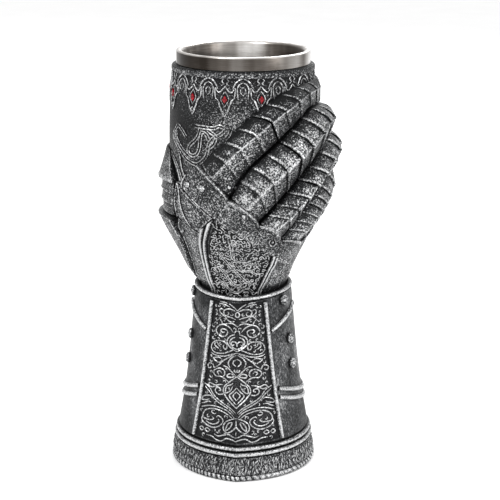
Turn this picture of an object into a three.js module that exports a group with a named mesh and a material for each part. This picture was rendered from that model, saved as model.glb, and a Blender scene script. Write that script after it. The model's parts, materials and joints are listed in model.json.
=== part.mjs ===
// Goblet in the form of a right-hand armoured gauntlet that grips a steel-lined cup and stands on its
// flared cuff. Millimetres, +Z up, origin at the centre of the foot, keel of the cuff towards -Y.
// A place on the goblet is given by its azimuth (degrees from -Y towards +X), its height and its radius.
import * as THREE from "three";

// ---- driving dimensions ------------------------------------------------------------------------
const HEIGHT = 190;
const GAP = 0.3; // clearance between neighbouring pieces
const ROUND_STEPS = 40; // facets round the goblet

const LIP_RADIUS = 29.3;
const LIP_BORE = 26.7;
const STEEL_BAND = 5.7; // height of steel that shows above the cast cup
const LINER_WALL = 1.1;
const LINER_DEPTH = 76;
const CUP_TOP = HEIGHT - STEEL_BAND - GAP;
const CUP_FOOT = 108; // level where the cup sits on the palm

const CUFF_TOP = 84;
const RECESS_DEPTH = 8; // how far the wrist is sunk into the cuff
const RECESS_RADIUS = 20.3;
const KEEL_RISE = 0.085; // how far the front edge of the cuff stands out, as a share of its radius
const KEEL_SPREAD = 24; // degrees
const TOP_DIP = 1.3; // the cuff's top edge dips at the front

const GEM_COUNT = 13; // places round the cup
const GEM_FIRST_AZIMUTH = -8;
const GEM_HEIGHT = 172.6;
const GEM_SIZE = { width: 2.5, height: 4.4, depth: 1.3 };

const PANEL_TOP = { z: 81.3, azimuth: 31 };
const PANEL_FOOT = { z: 17.6, azimuth: 41 };
const RIB_WIDTH = 2.1;
const RIB_HEIGHT = 1.5;

// Radius against height of the wrist, palm and cup under the plates.
const CORE_PROFILE = [
  { z: 76, r: 17.0 },
  { z: 84, r: 17.4 },
  { z: 88, r: 18.3 },
  { z: 92, r: 19.8 },
  { z: 98, r: 22.2 },
  { z: 104, r: 25.0 },
  { z: CUP_FOOT, r: 27.0 },
  { z: 114, r: 29.8 },
  { z: 120, r: 31.6 },
  { z: 127, r: 32.4 },
  { z: 168, r: 32.4 },
  { z: 174, r: 31.9 },
  { z: 179, r: 31.2 },
  { z: CUP_TOP, r: 30.7 },
];

// Radius against height of the outside of the hand plates.
const PLATE_PROFILE = [
  { z: 80, r: 19.2 },
  { z: 85, r: 19.8 },
  { z: 88, r: 21.4 },
  { z: 92, r: 23.0 },
  { z: 98, r: 25.7 },
  { z: 104, r: 28.7 },
  { z: 109, r: 31.3 },
  { z: 115, r: 34.2 },
  { z: 122, r: 36.4 },
  { z: 130, r: 37.2 },
  { z: 146, r: 36.6 },
];

// Radius against height of the cuff's sides, without its keel.
const CUFF_PROFILE = [
  { z: 0, r: 29.3 },
  { z: 16.1, r: 29.3 },
  { z: 16.6, r: 29.9 },
  { z: 26, r: 28.3 },
  { z: 38, r: 26.4 },
  { z: 53, r: 24.6 },
  { z: 69, r: 23.1 },
  { z: 82.2, r: 21.9 },
];

// The back of the hand seen unrolled: the fingers leave the knuckles on this slant.
const SLANT = 40; // degrees above the horizontal
const DEGREE_ARC = 0.63; // millimetres of arc in a degree, at the plates' radius
const PLATE_BED = 0.5; // clearance of the curved plates over the core

// Where the knuckle plates meet the fingers and the back of the hand, as azimuth and height. The
// rows are the corners above the index, between the fingers and below the little finger.
const KNUCKLE_LINES = [
  { finger: [-26, 144.5], wrist: [-41, 136.3] },
  { finger: [-4, 130.5], wrist: [-12.5, 122] },
  { finger: [16.5, 119.3], wrist: [7, 113.2] },
  { finger: [35, 110.8], wrist: [24, 105.5] },
  { finger: [61, 106], wrist: [52, 98] },
];

// Fingers from the knuckle round the cup. Each row has the finger's lower and upper edge as azimuth
// and height, how far both edges and the ridge stand over the cup, and the ridge's share across.
const FINGERS = {
  index: [
    { low: [-4, 130.5], high: [-26, 144.5], lowRise: 3.4, highRise: 2.2, ridge: 5.6, share: 0.56 },
    { low: [8, 142.6], high: [-11.5, 152.9], lowRise: 4.2, highRise: 2.2, ridge: 7.4, share: 0.58 },
    { low: [25, 152.2], high: [6, 163], lowRise: 4.2, highRise: 2, ridge: 7.6, share: 0.6 },
    { low: [41, 160], high: [24, 171.4], lowRise: 3.9, highRise: 1.9, ridge: 6.8, share: 0.6 },
    { low: [60, 167], high: [46, 176.9], lowRise: 3, highRise: 1.6, ridge: 4.8, share: 0.6 },
    { low: [79, 167.3], high: [72, 178.4], lowRise: 1.8, highRise: 1.2, ridge: 2.5, share: 0.6 },
    { low: [100, 165.8], high: [100, 178.4], lowRise: 1.1, highRise: 1, ridge: 1.4, share: 0.6 },
    { low: [134, 164.5], high: [134, 177.3], lowRise: 1, highRise: 1, ridge: 1.3, share: 0.5 },
  ],
  middle: [
    { low: [16.5, 119.3], high: [-4, 130.5], lowRise: 3.6, highRise: 3, ridge: 6, share: 0.5 },
    { low: [26, 126], high: [8, 142.6], lowRise: 5, highRise: 4.2, ridge: 8.6, share: 0.5 },
    { low: [39, 135], high: [25, 152.2], lowRise: 6, highRise: 4.6, ridge: 10.2, share: 0.5 },
    { low: [54, 143.5], high: [41, 160], lowRise: 6.2, highRise: 4.8, ridge: 10.4, share: 0.5 },
    { low: [76, 152], high: [60, 167], lowRise: 6.2, highRise: 4.4, ridge: 9.4, share: 0.5 },
    { low: [98, 154.3], high: [79, 167.3], lowRise: 6, highRise: 3.8, ridge: 8, share: 0.5 },
    { low: [122, 153.5], high: [106, 165.6], lowRise: 5, highRise: 3.4, ridge: 7, share: 0.5 },
    { low: [150, 151.5], high: [142, 164.2], lowRise: 3, highRise: 2.4, ridge: 4.4, share: 0.5 },
  ],
  ring: [
    { low: [35, 110.8], high: [16.5, 119.3], lowRise: 4.6, highRise: 4, ridge: 7, share: 0.5 },
    { low: [44, 119.2], high: [26, 126], lowRise: 6, highRise: 5, ridge: 9.6, share: 0.5 },
    { low: [53, 126.7], high: [39, 135], lowRise: 6.6, highRise: 6, ridge: 11, share: 0.5 },
    { low: [65, 133.4], high: [54, 143.5], lowRise: 6.8, highRise: 6.4, ridge: 11.6, share: 0.55 },
    { low: [82, 137.4], high: [76, 152], lowRise: 6.6, highRise: 6.2, ridge: 11.2, share: 0.6 },
    { low: [99, 138.4], high: [98, 154.3], lowRise: 6.4, highRise: 6, ridge: 10.5, share: 0.63 },
    { low: [123, 137.8], high: [122, 153.5], lowRise: 5.4, highRise: 5, ridge: 8.6, share: 0.6 },
    { low: [152, 136], high: [150, 151.5], lowRise: 3, highRise: 3, ridge: 5, share: 0.5 },
  ],
  little: [
    { low: [61, 106], high: [35, 110.8], lowRise: 3.4, highRise: 4, ridge: 5.6, share: 0.5 },
    { low: [67, 110.5], high: [44, 119.2], lowRise: 3.8, highRise: 4.6, ridge: 7.4, share: 0.5 },
    { low: [74, 114.3], high: [53, 126.7], lowRise: 3.6, highRise: 5.4, ridge: 8.2, share: 0.52 },
    { low: [84, 117.4], high: [65, 133.4], lowRise: 3, highRise: 6, ridge: 8.6, share: 0.58 },
    { low: [99, 119.6], high: [99, 138.4], lowRise: 2.6, highRise: 6, ridge: 8.2, share: 0.72 },
    { low: [124, 121], high: [123, 137.8], lowRise: 2.6, highRise: 4.8, ridge: 7, share: 0.65 },
    { low: [150, 121.5], high: [152, 136], lowRise: 2.2, highRise: 2.6, ridge: 4.2, share: 0.5 },
  ],
};
const FINGER_GAP = 1.1;
const LAME_FALL = 0.1; // a lame sinks by this share of its rise before the next one steps up
const LAME_LINES = [0, 0.5, 0.93]; // shares of a lame's length where its surface is set

// Edges of the hand plates and cords run from the wrist upwards, as azimuth and height.
const WRIST = 80.6;
const BACK_LEFT = [[-31, WRIST], [-30.5, 88], [-29.5, 95], [-27, 103], [-22.5, 110.5], [-13.5, 120.3]];
const BACK_RIGHT = [[21, WRIST], [23, 86], [26, 91], [28.5, 95], [30.5, 98], [31.5, 100.6]];
const SIDE_RIGHT_LOW = [[-41, WRIST], [-39.5, 88], [-38, 95], [-35, 103], [-32, 109], [-28.5, 113.6]];
const SIDE_LEFT_LOW = [[-72, WRIST], [-66, 90], [-57, 99], [-51, 108], [-50.5, 114], [-46, 119]];
const SIDE_RIGHT_HIGH = [[-27.8, 114.4], [-22, 118.6], [-15.5, 122]];
const SIDE_LEFT_HIGH = [[-45.3, 119.8], [-46, 127], [-43, 135]];
const THENAR_RIGHT = [[-74, WRIST], [-72, 85.4], [-65, 92], [-57, 101], [-52.5, 111], [-56, 117.6]];
const THENAR_LEFT = [[-124, WRIST], [-124, 85.4], [-124, 92], [-124, 101], [-124, 111], [-124, 117.6]];
const OUTER_LEFT_LOW = [[31.5, WRIST], [32, 86], [35, 91], [37.5, 95], [40, 98.5]];
const OUTER_RIGHT_LOW = [[62, WRIST], [60, 84.5], [57, 89], [54.5, 93], [53, 97]];
const HEEL_LEFT = [[63.5, WRIST], [61.5, 85.5], [62, 97.5], [64, 105]];
const HEEL_RIGHT = [[125, WRIST], [125, 90], [125, 105], [125, 119]];
const PALM_RIGHT = [[234.5, WRIST], [234.5, 100], [234.5, 118]];
const PALM_LEFT = [[126.5, WRIST], [126.5, 100], [126.5, 118]];
const CORD_RIGHT_INNER = [[22, WRIST], [24, 86], [27, 91], [29.5, 95], [31.4, 97.8], [32.4, 100.2]];
const CORD_RIGHT_OUTER = [[30.5, WRIST], [31, 86], [34, 91], [36.5, 95], [38.4, 97.2], [39.4, 98.6]];

// Studs on the sides of the cuff.
const ROSETTES = [
  { azimuth: 58, z: 79.4 },
  { azimuth: 66, z: 60.5 },
  { azimuth: 66, z: 48.8 },
  { azimuth: -78, z: 80.2 },
  { azimuth: -72, z: 60.5 },
  { azimuth: -72, z: 48.8 },
];

// ---- finishes ----------------------------------------------------------------------------------
const PEWTER = { color: 0x6f7173, roughness: 0.5, metalness: 0.75 };
const DARK_PEWTER = { color: 0x4a4c4e, roughness: 0.6, metalness: 0.6 };
const BRIGHT_PEWTER = { color: 0xa9aaab, roughness: 0.4, metalness: 0.8 };
const STEEL = { color: 0xb9b5ae, roughness: 0.25, metalness: 1 };
const RED_STONE = { color: 0xb01822, roughness: 0.15, metalness: 0 };

// ---- geometry helpers --------------------------------------------------------------------------
const radians = THREE.MathUtils.degToRad;
const mix = THREE.MathUtils.lerp;

/** Radius of a profile table at height z. */
function radiusAt(profile, z) {
  if (z <= profile[0].z) return profile[0].r;
  const upper = profile.findIndex((row) => row.z >= z);
  if (upper < 0) return profile[profile.length - 1].r;
  const [a, b] = [profile[upper - 1], profile[upper]];
  return mix(a.r, b.r, (z - a.z) / (b.z - a.z));
}

/** Point at an azimuth in degrees, a height and a radius. */
function polar(azimuth, z, radius) {
  const angle = radians(azimuth);
  return new THREE.Vector3(radius * Math.sin(angle), -radius * Math.cos(angle), z);
}

/** How much further out the keeled cuff lies at an azimuth than at its sides. */
function keel(azimuth) {
  const turn = Math.abs(((azimuth + 180) % 360) - 180);
  return 1 + KEEL_RISE * Math.exp(-turn / KEEL_SPREAD);
}

/** Drop of the cuff's upper part at an azimuth and height. */
function dip(azimuth, z) {
  const facing = Math.max(0, Math.cos(radians(azimuth)));
  return TOP_DIP * facing ** 2 * Math.max(0, z / CUFF_TOP) ** 4;
}

/** Point on or over the cuff, out from its side radius by an offset. */
function onCuff(azimuth, z, offset) {
  const side = radiusAt(CUFF_PROFILE, z);
  return polar(azimuth, z - dip(azimuth, z), side * keel(azimuth) + offset);
}

/** Turned solid from rows of radius and height, first and last rows joined or on the axis. */
function turned(rows, segments = ROUND_STEPS) {
  const points = rows.map(([r, z]) => new THREE.Vector2(r, z));
  return new THREE.LatheGeometry(points, segments).rotateX(Math.PI / 2);
}

/** Moves every vertex of a geometry by a function of its position. */
function reshape(geometry, move) {
  const position = geometry.getAttribute("position");
  const point = new THREE.Vector3();
  for (let i = 0; i < position.count; i += 1) {
    const moved = move(point.fromBufferAttribute(position, i));
    position.setXYZ(i, moved.x, moved.y, moved.z);
  }
  geometry.computeVertexNormals();
  return geometry;
}

/** Turned solid whose plan follows the cuff's keel. */
function keeled(rows) {
  return reshape(turned(rows), (point) => {
    const azimuth = THREE.MathUtils.radToDeg(Math.atan2(point.x, -point.y));
    const radius = Math.hypot(point.x, point.y) * keel(azimuth);
    return polar(azimuth, point.z - dip(azimuth, point.z), radius);
  });
}

/**
 * Plate bent onto the goblet: place(u, v, w) gives the point for a share u across, v along and w
 * outwards, each from 0 to 1.
 */
function plate(across, along, place) {
  return reshape(new THREE.BoxGeometry(1, 1, 1, across, along, 1), (point) =>
    place(point.x + 0.5, point.y + 0.5, point.z + 0.5),
  );
}

/** Named mesh of one sub-part. */
function piece(name, geometry, finish) {
  const mesh = new THREE.Mesh(geometry, new THREE.MeshStandardMaterial(finish));
  mesh.name = name;
  return mesh;
}

// ---- cup ---------------------------------------------------------------------------------------
function steelLiner() {
  const floor = HEIGHT - LINER_DEPTH;
  const wallTop = LIP_BORE - 0.2;
  const wallFoot = LIP_BORE - 2.2;
  return turned([
    [0, floor - LINER_WALL],
    [wallFoot - 0.6, floor - LINER_WALL],
    [wallFoot + LINER_WALL, floor + 3],
    [wallTop + LINER_WALL, HEIGHT - STEEL_BAND],
    [LIP_RADIUS + 0.2, HEIGHT - STEEL_BAND],
    [LIP_RADIUS + 0.1, HEIGHT - 1.1],
    [LIP_RADIUS - 0.6, HEIGHT - 0.2],
    [LIP_RADIUS - 1.3, HEIGHT],
    [LIP_BORE + 0.6, HEIGHT - 0.3],
    [LIP_BORE, HEIGHT - 1.3],
    [wallTop, HEIGHT - STEEL_BAND],
    [wallFoot, floor + 3],
    [wallFoot - 2, floor],
    [0, floor],
  ]);
}

function cupBody() {
  const socketTop = LIP_BORE - 0.2 + LINER_WALL + GAP;
  const socketFoot = LIP_BORE - 2.2 + LINER_WALL + GAP;
  const socketFloor = HEIGHT - LINER_DEPTH - LINER_WALL - GAP;
  const wall = CORE_PROFILE.filter((row) => row.z >= CUP_FOOT);
  return turned([
    [0, CUP_FOOT + GAP],
    ...wall.map((row) => [row.r, Math.max(row.z, CUP_FOOT + GAP)]),
    [socketTop, CUP_TOP],
    [socketFoot, socketFloor],
    [0, socketFloor],
  ]);
}

function cupBorder() {
  const foot = 180.3;
  const top = 183.0;
  const inner = radiusAt(CORE_PROFILE, foot) + GAP;
  return turned([
    [inner, foot],
    [inner + 0.7, (foot + top) / 2],
    [inner - 0.1, top],
    [inner, foot],
  ]);
}

/** Stone cut as a low diamond: a four-sided girdle under a point. */
function gem(azimuth) {
  const stone = new THREE.CylinderGeometry(0.25, 0.5, 1, 4, 1);
  const seat = radiusAt(CORE_PROFILE, GEM_HEIGHT) + GAP;
  const { width, height, depth } = GEM_SIZE;
  stone.rotateX(Math.PI / 2);
  return reshape(stone, (p) =>
    polar(azimuth, GEM_HEIGHT + p.y * height, seat + (p.z + 0.5) * depth).add(
      polar(azimuth + 90, 0, p.x * width),
    ),
  );
}

function gems() {
  const stones = [];
  for (let place = 0; place < GEM_COUNT; place += 1) {
    const azimuth = GEM_FIRST_AZIMUTH + (place * 360) / GEM_COUNT;
    const covered = azimuth > 35 && azimuth < 140; // under the index finger
    if (!covered) stones.push(piece(`gem_${stones.length + 1}`, gem(azimuth), RED_STONE));
  }
  return stones;
}

// ---- hand --------------------------------------------------------------------------------------
function handCore() {
  const wall = CORE_PROFILE.filter((row) => row.z <= CUP_FOOT);
  const foot = CUFF_TOP - RECESS_DEPTH + GAP;
  return turned([
    [0, foot],
    ...wall.map((row) => [row.r, Math.max(row.z, foot)]),
    [0, CUP_FOOT],
  ]);
}

/** Place on the unrolled hand, moved in millimetres along the fingers and across them. */
function slide([azimuth, z], along, across) {
  const angle = radians(SLANT);
  const turn = (along * Math.cos(angle) - across * Math.sin(angle)) / DEGREE_ARC;
  return [azimuth + turn, z + along * Math.sin(angle) + across * Math.cos(angle)];
}

function mixRow(a, b, share) {
  return a.map((value, i) => mix(value, b[i], share));
}

/** Place at a share of the way along a row of places. */
function alongRow(row, share) {
  const step = Math.min(Math.floor(share * (row.length - 1)), row.length - 2);
  return mixRow(row[step], row[step + 1], share * (row.length - 1) - step);
}

/** Share of a plate's relief at a height: none inside the cuff's mouth, all of it over the wrist. */
function wristFade(z) {
  return THREE.MathUtils.clamp((z - CUFF_TOP - 1) / 7, 0, 1);
}

/**
 * Plate on the hand between a left and a right edge, each a row of places from the wrist upwards.
 * lift raises its face and crown domes it.
 */
function handPlate({ left, right, across, along, lift = 0, crown = 0 }) {
  return plate(across, along, (u, v, w) => {
    const [azimuth, z] = mixRow(alongRow(left, v), alongRow(right, v), u);
    const inner = radiusAt(CORE_PROFILE, z) + PLATE_BED;
    const dome = crown * 4 * u * (1 - u);
    const outer = radiusAt(PLATE_PROFILE, z) + (lift + dome) * wristFade(z);
    return polar(azimuth, z, mix(inner, outer, w));
  });
}

/** One plate before each finger, domed towards it. */
function knucklePlates() {
  const edge = 0.3;
  return Object.keys(FINGERS).map((name, i) => {
    const [above, below] = [KNUCKLE_LINES[i], KNUCKLE_LINES[i + 1]];
    const nearLow = slide(below.wrist, edge, edge);
    const nearHigh = slide(above.wrist, edge, -edge);
    const farLow = slide(below.finger, -edge, edge);
    const farHigh = slide(above.finger, -edge, -edge);
    const shape = plate(4, 4, (u, v, w) => {
      const near = mixRow(nearHigh, nearLow, u);
      const far = mixRow(farHigh, farLow, u);
      const [azimuth, z] = mixRow(near, far, v);
      const inner = radiusAt(CORE_PROFILE, z) + PLATE_BED;
      const crown = 0.8 + 2.2 * v * Math.sin(Math.PI * u);
      return polar(azimuth, z, mix(inner, radiusAt(PLATE_PROFILE, z) + crown, w));
    });
    return piece(`knuckle_${name}`, shape, PEWTER);
  });
}

/** Smooth value of one column of a finger's rows at a share of its length. */
function columnAt(rows, share, column) {
  const points = rows.map((row) => {
    const [x, y] = column(row);
    return new THREE.Vector3(x, y, 0);
  });
  const at = new THREE.CatmullRomCurve3(points, false, "catmullrom", 0.5).getPoint(share);
  return [at.x, at.y];
}

/** Outer rise and place across a finger at one of its five lines, from the lower edge up. */
function fingerSection(rows, share, line) {
  const lower = columnAt(rows, share, (row) => row.low);
  const upper = columnAt(rows, share, (row) => row.high);
  const [lowRise, highRise] = columnAt(rows, share, (row) => [row.lowRise, row.highRise]);
  const [ridge, ridgeShare] = columnAt(rows, share, (row) => [row.ridge, row.share]);
  const width = Math.hypot((upper[0] - lower[0]) * DEGREE_ARC, upper[1] - lower[1]);
  const margin = FINGER_GAP / 2 / width;
  const stops = [margin, ridgeShare * 0.5, ridgeShare, (1 + ridgeShare) / 2, 1 - margin];
  const flank = 0.62; // how far up to the ridge the middle of a flank stands
  const rises = [lowRise, mix(lowRise, ridge, flank), ridge, mix(highRise, ridge, flank), highRise];
  return { place: mixRow(lower, upper, stops[line]), rise: Math.max(rises[line], 1) };
}

/**
 * Stretch of a finger between two shares of its length: a keeled bar over the cup, its back stepped
 * in overlapping lames. u runs from the upper edge to the lower one.
 */
function fingerStretch(rows, from, to, lames) {
  const lines = LAME_LINES.length;
  return plate(4, lines * lames, (u, v, w) => {
    const step = Math.min(Math.round(v * lines * lames), lines * lames);
    const lame = Math.floor(step / lines);
    const within = LAME_LINES[step % lines];
    const atEnd = step === lines * lames;
    const share = mix(from, to, atEnd ? 1 : (lame + within) / lames);
    const { place, rise } = fingerSection(rows, share, 4 - Math.round(u * 4));
    const fall = 1 - LAME_FALL * (atEnd ? 1 : within);
    return polar(...place, radiusAt(CORE_PROFILE, place[1]) + mix(PLATE_BED, rise * fall, w));
  });
}

/** The armour of each finger, in three stretches from the knuckle to the tip. */
function fingers() {
  const stretches = [
    { part: "base", from: 0.012, to: 0.33, lames: 4 },
    { part: "bend", from: 0.338, to: 0.66, lames: 4 },
    { part: "tip", from: 0.668, to: 1, lames: 3 },
  ];
  return Object.entries(FINGERS).flatMap(([name, rows]) =>
    stretches.map(({ part, from, to, lames }) =>
      piece(`${name}_${part}`, fingerStretch(rows, from, to, lames), PEWTER),
    ),
  );
}

// ---- plates round the hand ---------------------------------------------------------------------
function handPlates() {
  const plates = {
    hand_back: { left: BACK_LEFT, right: BACK_RIGHT, across: 7, along: 8, crown: 0.6 },
    side_plate_lower: { left: SIDE_LEFT_LOW, right: SIDE_RIGHT_LOW, across: 3, along: 8 },
    side_plate_upper: { left: SIDE_LEFT_HIGH, right: SIDE_RIGHT_HIGH, across: 4, along: 4, lift: 0.7 },
    outer_plate: { left: OUTER_LEFT_LOW, right: OUTER_RIGHT_LOW, across: 3, along: 4 },
    heel_plate: { left: HEEL_LEFT, right: HEEL_RIGHT, across: 6, along: 6, lift: -0.4 },
    palm_plate: { left: PALM_LEFT, right: PALM_RIGHT, across: 10, along: 6, lift: -0.6 },
    thenar_plate: { left: THENAR_LEFT, right: THENAR_RIGHT, across: 6, along: 10, lift: 2, crown: 1 },
  };
  return Object.entries(plates).map(([name, shape]) => piece(name, handPlate(shape), PEWTER));
}

/** Double raised cord beside the hand's back: two ridges with a groove between them. */
function handCord(inner, outer) {
  const grooves = [0, 1, 0.25, 1, 0]; // share of the cord's height at each line across
  return plate(4, 8, (u, v, w) => {
    const [azimuth, z] = mixRow(alongRow(inner, v), alongRow(outer, v), mix(0.06, 0.94, u));
    const foot = radiusAt(CORE_PROFILE, z) + PLATE_BED;
    const height = mix(0.5, 1.1, wristFade(z)) * grooves[Math.round(u * 4)];
    const face = radiusAt(PLATE_PROFILE, z) + 0.2 + height;
    return polar(azimuth, z, mix(foot, face, w));
  });
}

/** Stretch of the thumb up the cup's left side, keeled and stepped like the fingers. */
function thumbStretch({ from, to, lames, rise }) {
  const lines = LAME_LINES.length;
  return plate(6, lines * lames, (u, v, w) => {
    const step = Math.min(Math.round(v * lines * lames), lines * lames);
    const atEnd = step === lines * lames;
    const share = atEnd ? 1 : (Math.floor(step / lines) + LAME_LINES[step % lines]) / lames;
    const z = mix(from.z, to.z, share);
    const azimuth = mix(mix(from.back, to.back, share), mix(from.front, to.front, share), u);
    const keelShare = 1 - Math.abs(2 * u - 1);
    const height = mix(rise.from, rise.to, share) * mix(0.55, 1, keelShare);
    const fall = 1 - LAME_FALL * (atEnd ? 1 : LAME_LINES[step % lines]);
    return polar(azimuth, z, radiusAt(CORE_PROFILE, z) + mix(PLATE_BED, height * fall, w));
  });
}

function thumb() {
  const root = { z: 118.3, back: -120, front: -58 };
  const joint = { z: 133, back: -114, front: -55 };
  const tip = { z: 147, back: -101, front: -68 };
  const above = { z: 133.5, back: -114, front: -54 };
  const base = thumbStretch({ from: root, to: joint, lames: 3, rise: { from: 5, to: 4 } });
  const end = thumbStretch({ from: above, to: tip, lames: 1, rise: { from: 5.4, to: 1.4 } });
  return [piece("thumb_base", base, PEWTER), piece("thumb_tip", end, PEWTER)];
}

// ---- cuff --------------------------------------------------------------------------------------
function cuffBody() {
  const wall = CUFF_PROFILE.map((row) => [row.r, row.z]);
  const rimLevel = CUFF_PROFILE[CUFF_PROFILE.length - 1].z;
  const floor = CUFF_TOP - RECESS_DEPTH;
  return keeled([
    [0, 0],
    ...wall,
    [RECESS_RADIUS, rimLevel],
    [RECESS_RADIUS - 0.3, floor],
    [0, floor],
  ]);
}

/** Ring round the cuff with a closed section of radius and height. */
function cuffRing(section) {
  return keeled([...section, section[0]]);
}

/** Rounded cord lying round the cuff. */
function cuffCord({ inner, outer, foot, top }) {
  const bevel = (top - foot) * 0.3;
  return cuffRing([
    [inner, foot],
    [outer - bevel, foot],
    [outer, (foot + top) / 2],
    [outer - bevel, top],
    [inner, top],
  ]);
}

function cuffRings() {
  const rim = { inner: RECESS_RADIUS + 0.2, outer: 22.3, foot: 82.2 + GAP, top: CUFF_TOP + 0.4 };
  const upper = { inner: 29.6, outer: 31.3, foot: 13.7, top: 15.8 };
  const lower = { inner: 29.6, outer: 31.9, foot: 11.1, top: 13.2 };
  const hem = cuffRing([
    [29.6, 3],
    [32.6, 3],
    [31.5, 10.7],
    [29.6, 10.7],
  ]);
  const rope = cuffCord({ inner: 29.6, outer: 33.3, foot: 0, top: 2.7 });
  return [
    piece("cuff_rim", cuffCord(rim), BRIGHT_PEWTER),
    piece("foot_cord_upper", cuffCord(upper), BRIGHT_PEWTER),
    piece("foot_cord_lower", cuffCord(lower), BRIGHT_PEWTER),
    piece("hem", hem, DARK_PEWTER),
    piece("foot_rope", rope, PEWTER),
  ];
}

/** Azimuth of the rib that borders the front panel, at a height. */
function ribAzimuth(z) {
  const share = (z - PANEL_FOOT.z) / (PANEL_TOP.z - PANEL_FOOT.z);
  return mix(PANEL_FOOT.azimuth, PANEL_TOP.azimuth, share);
}

/** Degrees round the cuff that a length in millimetres takes up at a height. */
function cuffDegrees(length, z) {
  return THREE.MathUtils.radToDeg(length / radiusAt(CUFF_PROFILE, z));
}

/** Raised strip on the cuff along a route(share) of azimuth and height, its face narrower. */
function cuffStrip(route, width, height, along) {
  return plate(2, along, (u, v, w) => {
    const [azimuth, z] = route(v);
    const [aheadAzimuth, aheadZ] = route(v + 0.01);
    const turn = ((aheadAzimuth - azimuth) * radiusAt(CUFF_PROFILE, z) * Math.PI) / 180;
    const rise = aheadZ - z;
    const offset = ((u - 0.5) * width * mix(1, 0.6, w)) / Math.hypot(turn, rise);
    const sideways = azimuth + cuffDegrees(offset * rise, z);
    return onCuff(sideways, z - offset * turn, mix(GAP, height, w));
  });
}

/** The front panel lies between its two ribs, under the rim. */
function cuffFrontPanel() {
  return plate(8, 6, (u, v, w) => {
    const z = mix(PANEL_FOOT.z, PANEL_TOP.z, v);
    const limit = ribAzimuth(z) - cuffDegrees(RIB_WIDTH / 2 + GAP, z);
    return onCuff(mix(-limit, limit, u), z, mix(GAP, 0.8, w));
  });
}

function cuffRibs() {
  const strips = [];
  for (const [side, sign] of [["left", -1], ["right", 1]]) {
    const panelRib = (share) => {
      const z = mix(PANEL_FOOT.z, PANEL_TOP.z, share);
      return [sign * ribAzimuth(z), z];
    };
    const foot = { azimuth: ribAzimuth(67) + 4, z: 67 };
    const diagonal = (share) => [sign * mix(foot.azimuth, 84, share), mix(foot.z, 75.5, share)];
    strips.push(piece(`panel_rib_${side}`, cuffStrip(panelRib, RIB_WIDTH, RIB_HEIGHT, 8), BRIGHT_PEWTER));
    strips.push(piece(`diagonal_rib_${side}`, cuffStrip(diagonal, 2, 1.3, 5), BRIGHT_PEWTER));
  }
  return strips;
}

/** Two bands round the cuff's sides and back, which climb towards the panel ribs. */
function sideBands() {
  const start = 42.5;
  const level = 95;
  return [["upper", 33.6], ["lower", 29.6]].map(([name, height]) => {
    const route = (share) => {
      const azimuth = mix(start, 360 - start, share);
      const turn = Math.min(azimuth, 360 - azimuth);
      const climb = Math.max(0, (level - turn) / (level - start));
      return [azimuth, height + 6.2 * climb ** 1.2];
    };
    return piece(`side_band_${name}`, cuffStrip(route, 2.2, 1.2, 30), BRIGHT_PEWTER);
  });
}

/** Domed studs down both sides of the cuff. */
function rosettes() {
  const radius = 2.2;
  const height = 1.5;
  const dome = [
    [0, 0],
    [radius, 0],
    [radius, 0.5],
    [radius * 0.6, height],
    [0, height],
  ];
  return ROSETTES.map(({ azimuth, z }, i) => {
    const stud = piece(`rosette_${i + 1}`, turned(dome, 12), BRIGHT_PEWTER);
    stud.position.copy(onCuff(azimuth, z, GAP + 0.1));
    stud.quaternion.setFromUnitVectors(new THREE.Vector3(0, 0, 1), polar(azimuth, 0.12, 1).normalize());
    return stud;
  });
}

// ---- assembly ----------------------------------------------------------------------------------
const group = new THREE.Group();
group.add(piece("steel_liner", steelLiner(), STEEL));
group.add(piece("cup_body", cupBody(), DARK_PEWTER));
group.add(piece("cup_border", cupBorder(), PEWTER));
group.add(...gems());
group.add(piece("hand_core", handCore(), DARK_PEWTER));
group.add(...knucklePlates());
group.add(...fingers());
group.add(...handPlates());
group.add(piece("hand_cord_left", handCord(SIDE_RIGHT_LOW, BACK_LEFT), BRIGHT_PEWTER));
group.add(piece("hand_cord_right", handCord(CORD_RIGHT_INNER, CORD_RIGHT_OUTER), BRIGHT_PEWTER));
group.add(...thumb());
group.add(piece("cuff_body", cuffBody(), PEWTER));
group.add(...cuffRings());
group.add(piece("cuff_front_panel", cuffFrontPanel(), DARK_PEWTER));
group.add(...cuffRibs());
group.add(...sideBands());
group.add(...rosettes());
export default group;
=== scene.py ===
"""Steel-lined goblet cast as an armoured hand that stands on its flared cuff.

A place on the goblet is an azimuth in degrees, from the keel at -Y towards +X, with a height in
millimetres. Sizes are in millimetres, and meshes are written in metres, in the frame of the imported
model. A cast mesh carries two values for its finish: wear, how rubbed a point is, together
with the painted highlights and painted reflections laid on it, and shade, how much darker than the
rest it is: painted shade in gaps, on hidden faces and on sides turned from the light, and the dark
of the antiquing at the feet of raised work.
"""
import json
import logging
import math
import random
from dataclasses import dataclass
from enum import Enum
from typing import Callable, ClassVar, Iterable, Sequence

import bmesh
import bpy
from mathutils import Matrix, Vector
from mathutils.bvhtree import BVHTree

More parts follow.
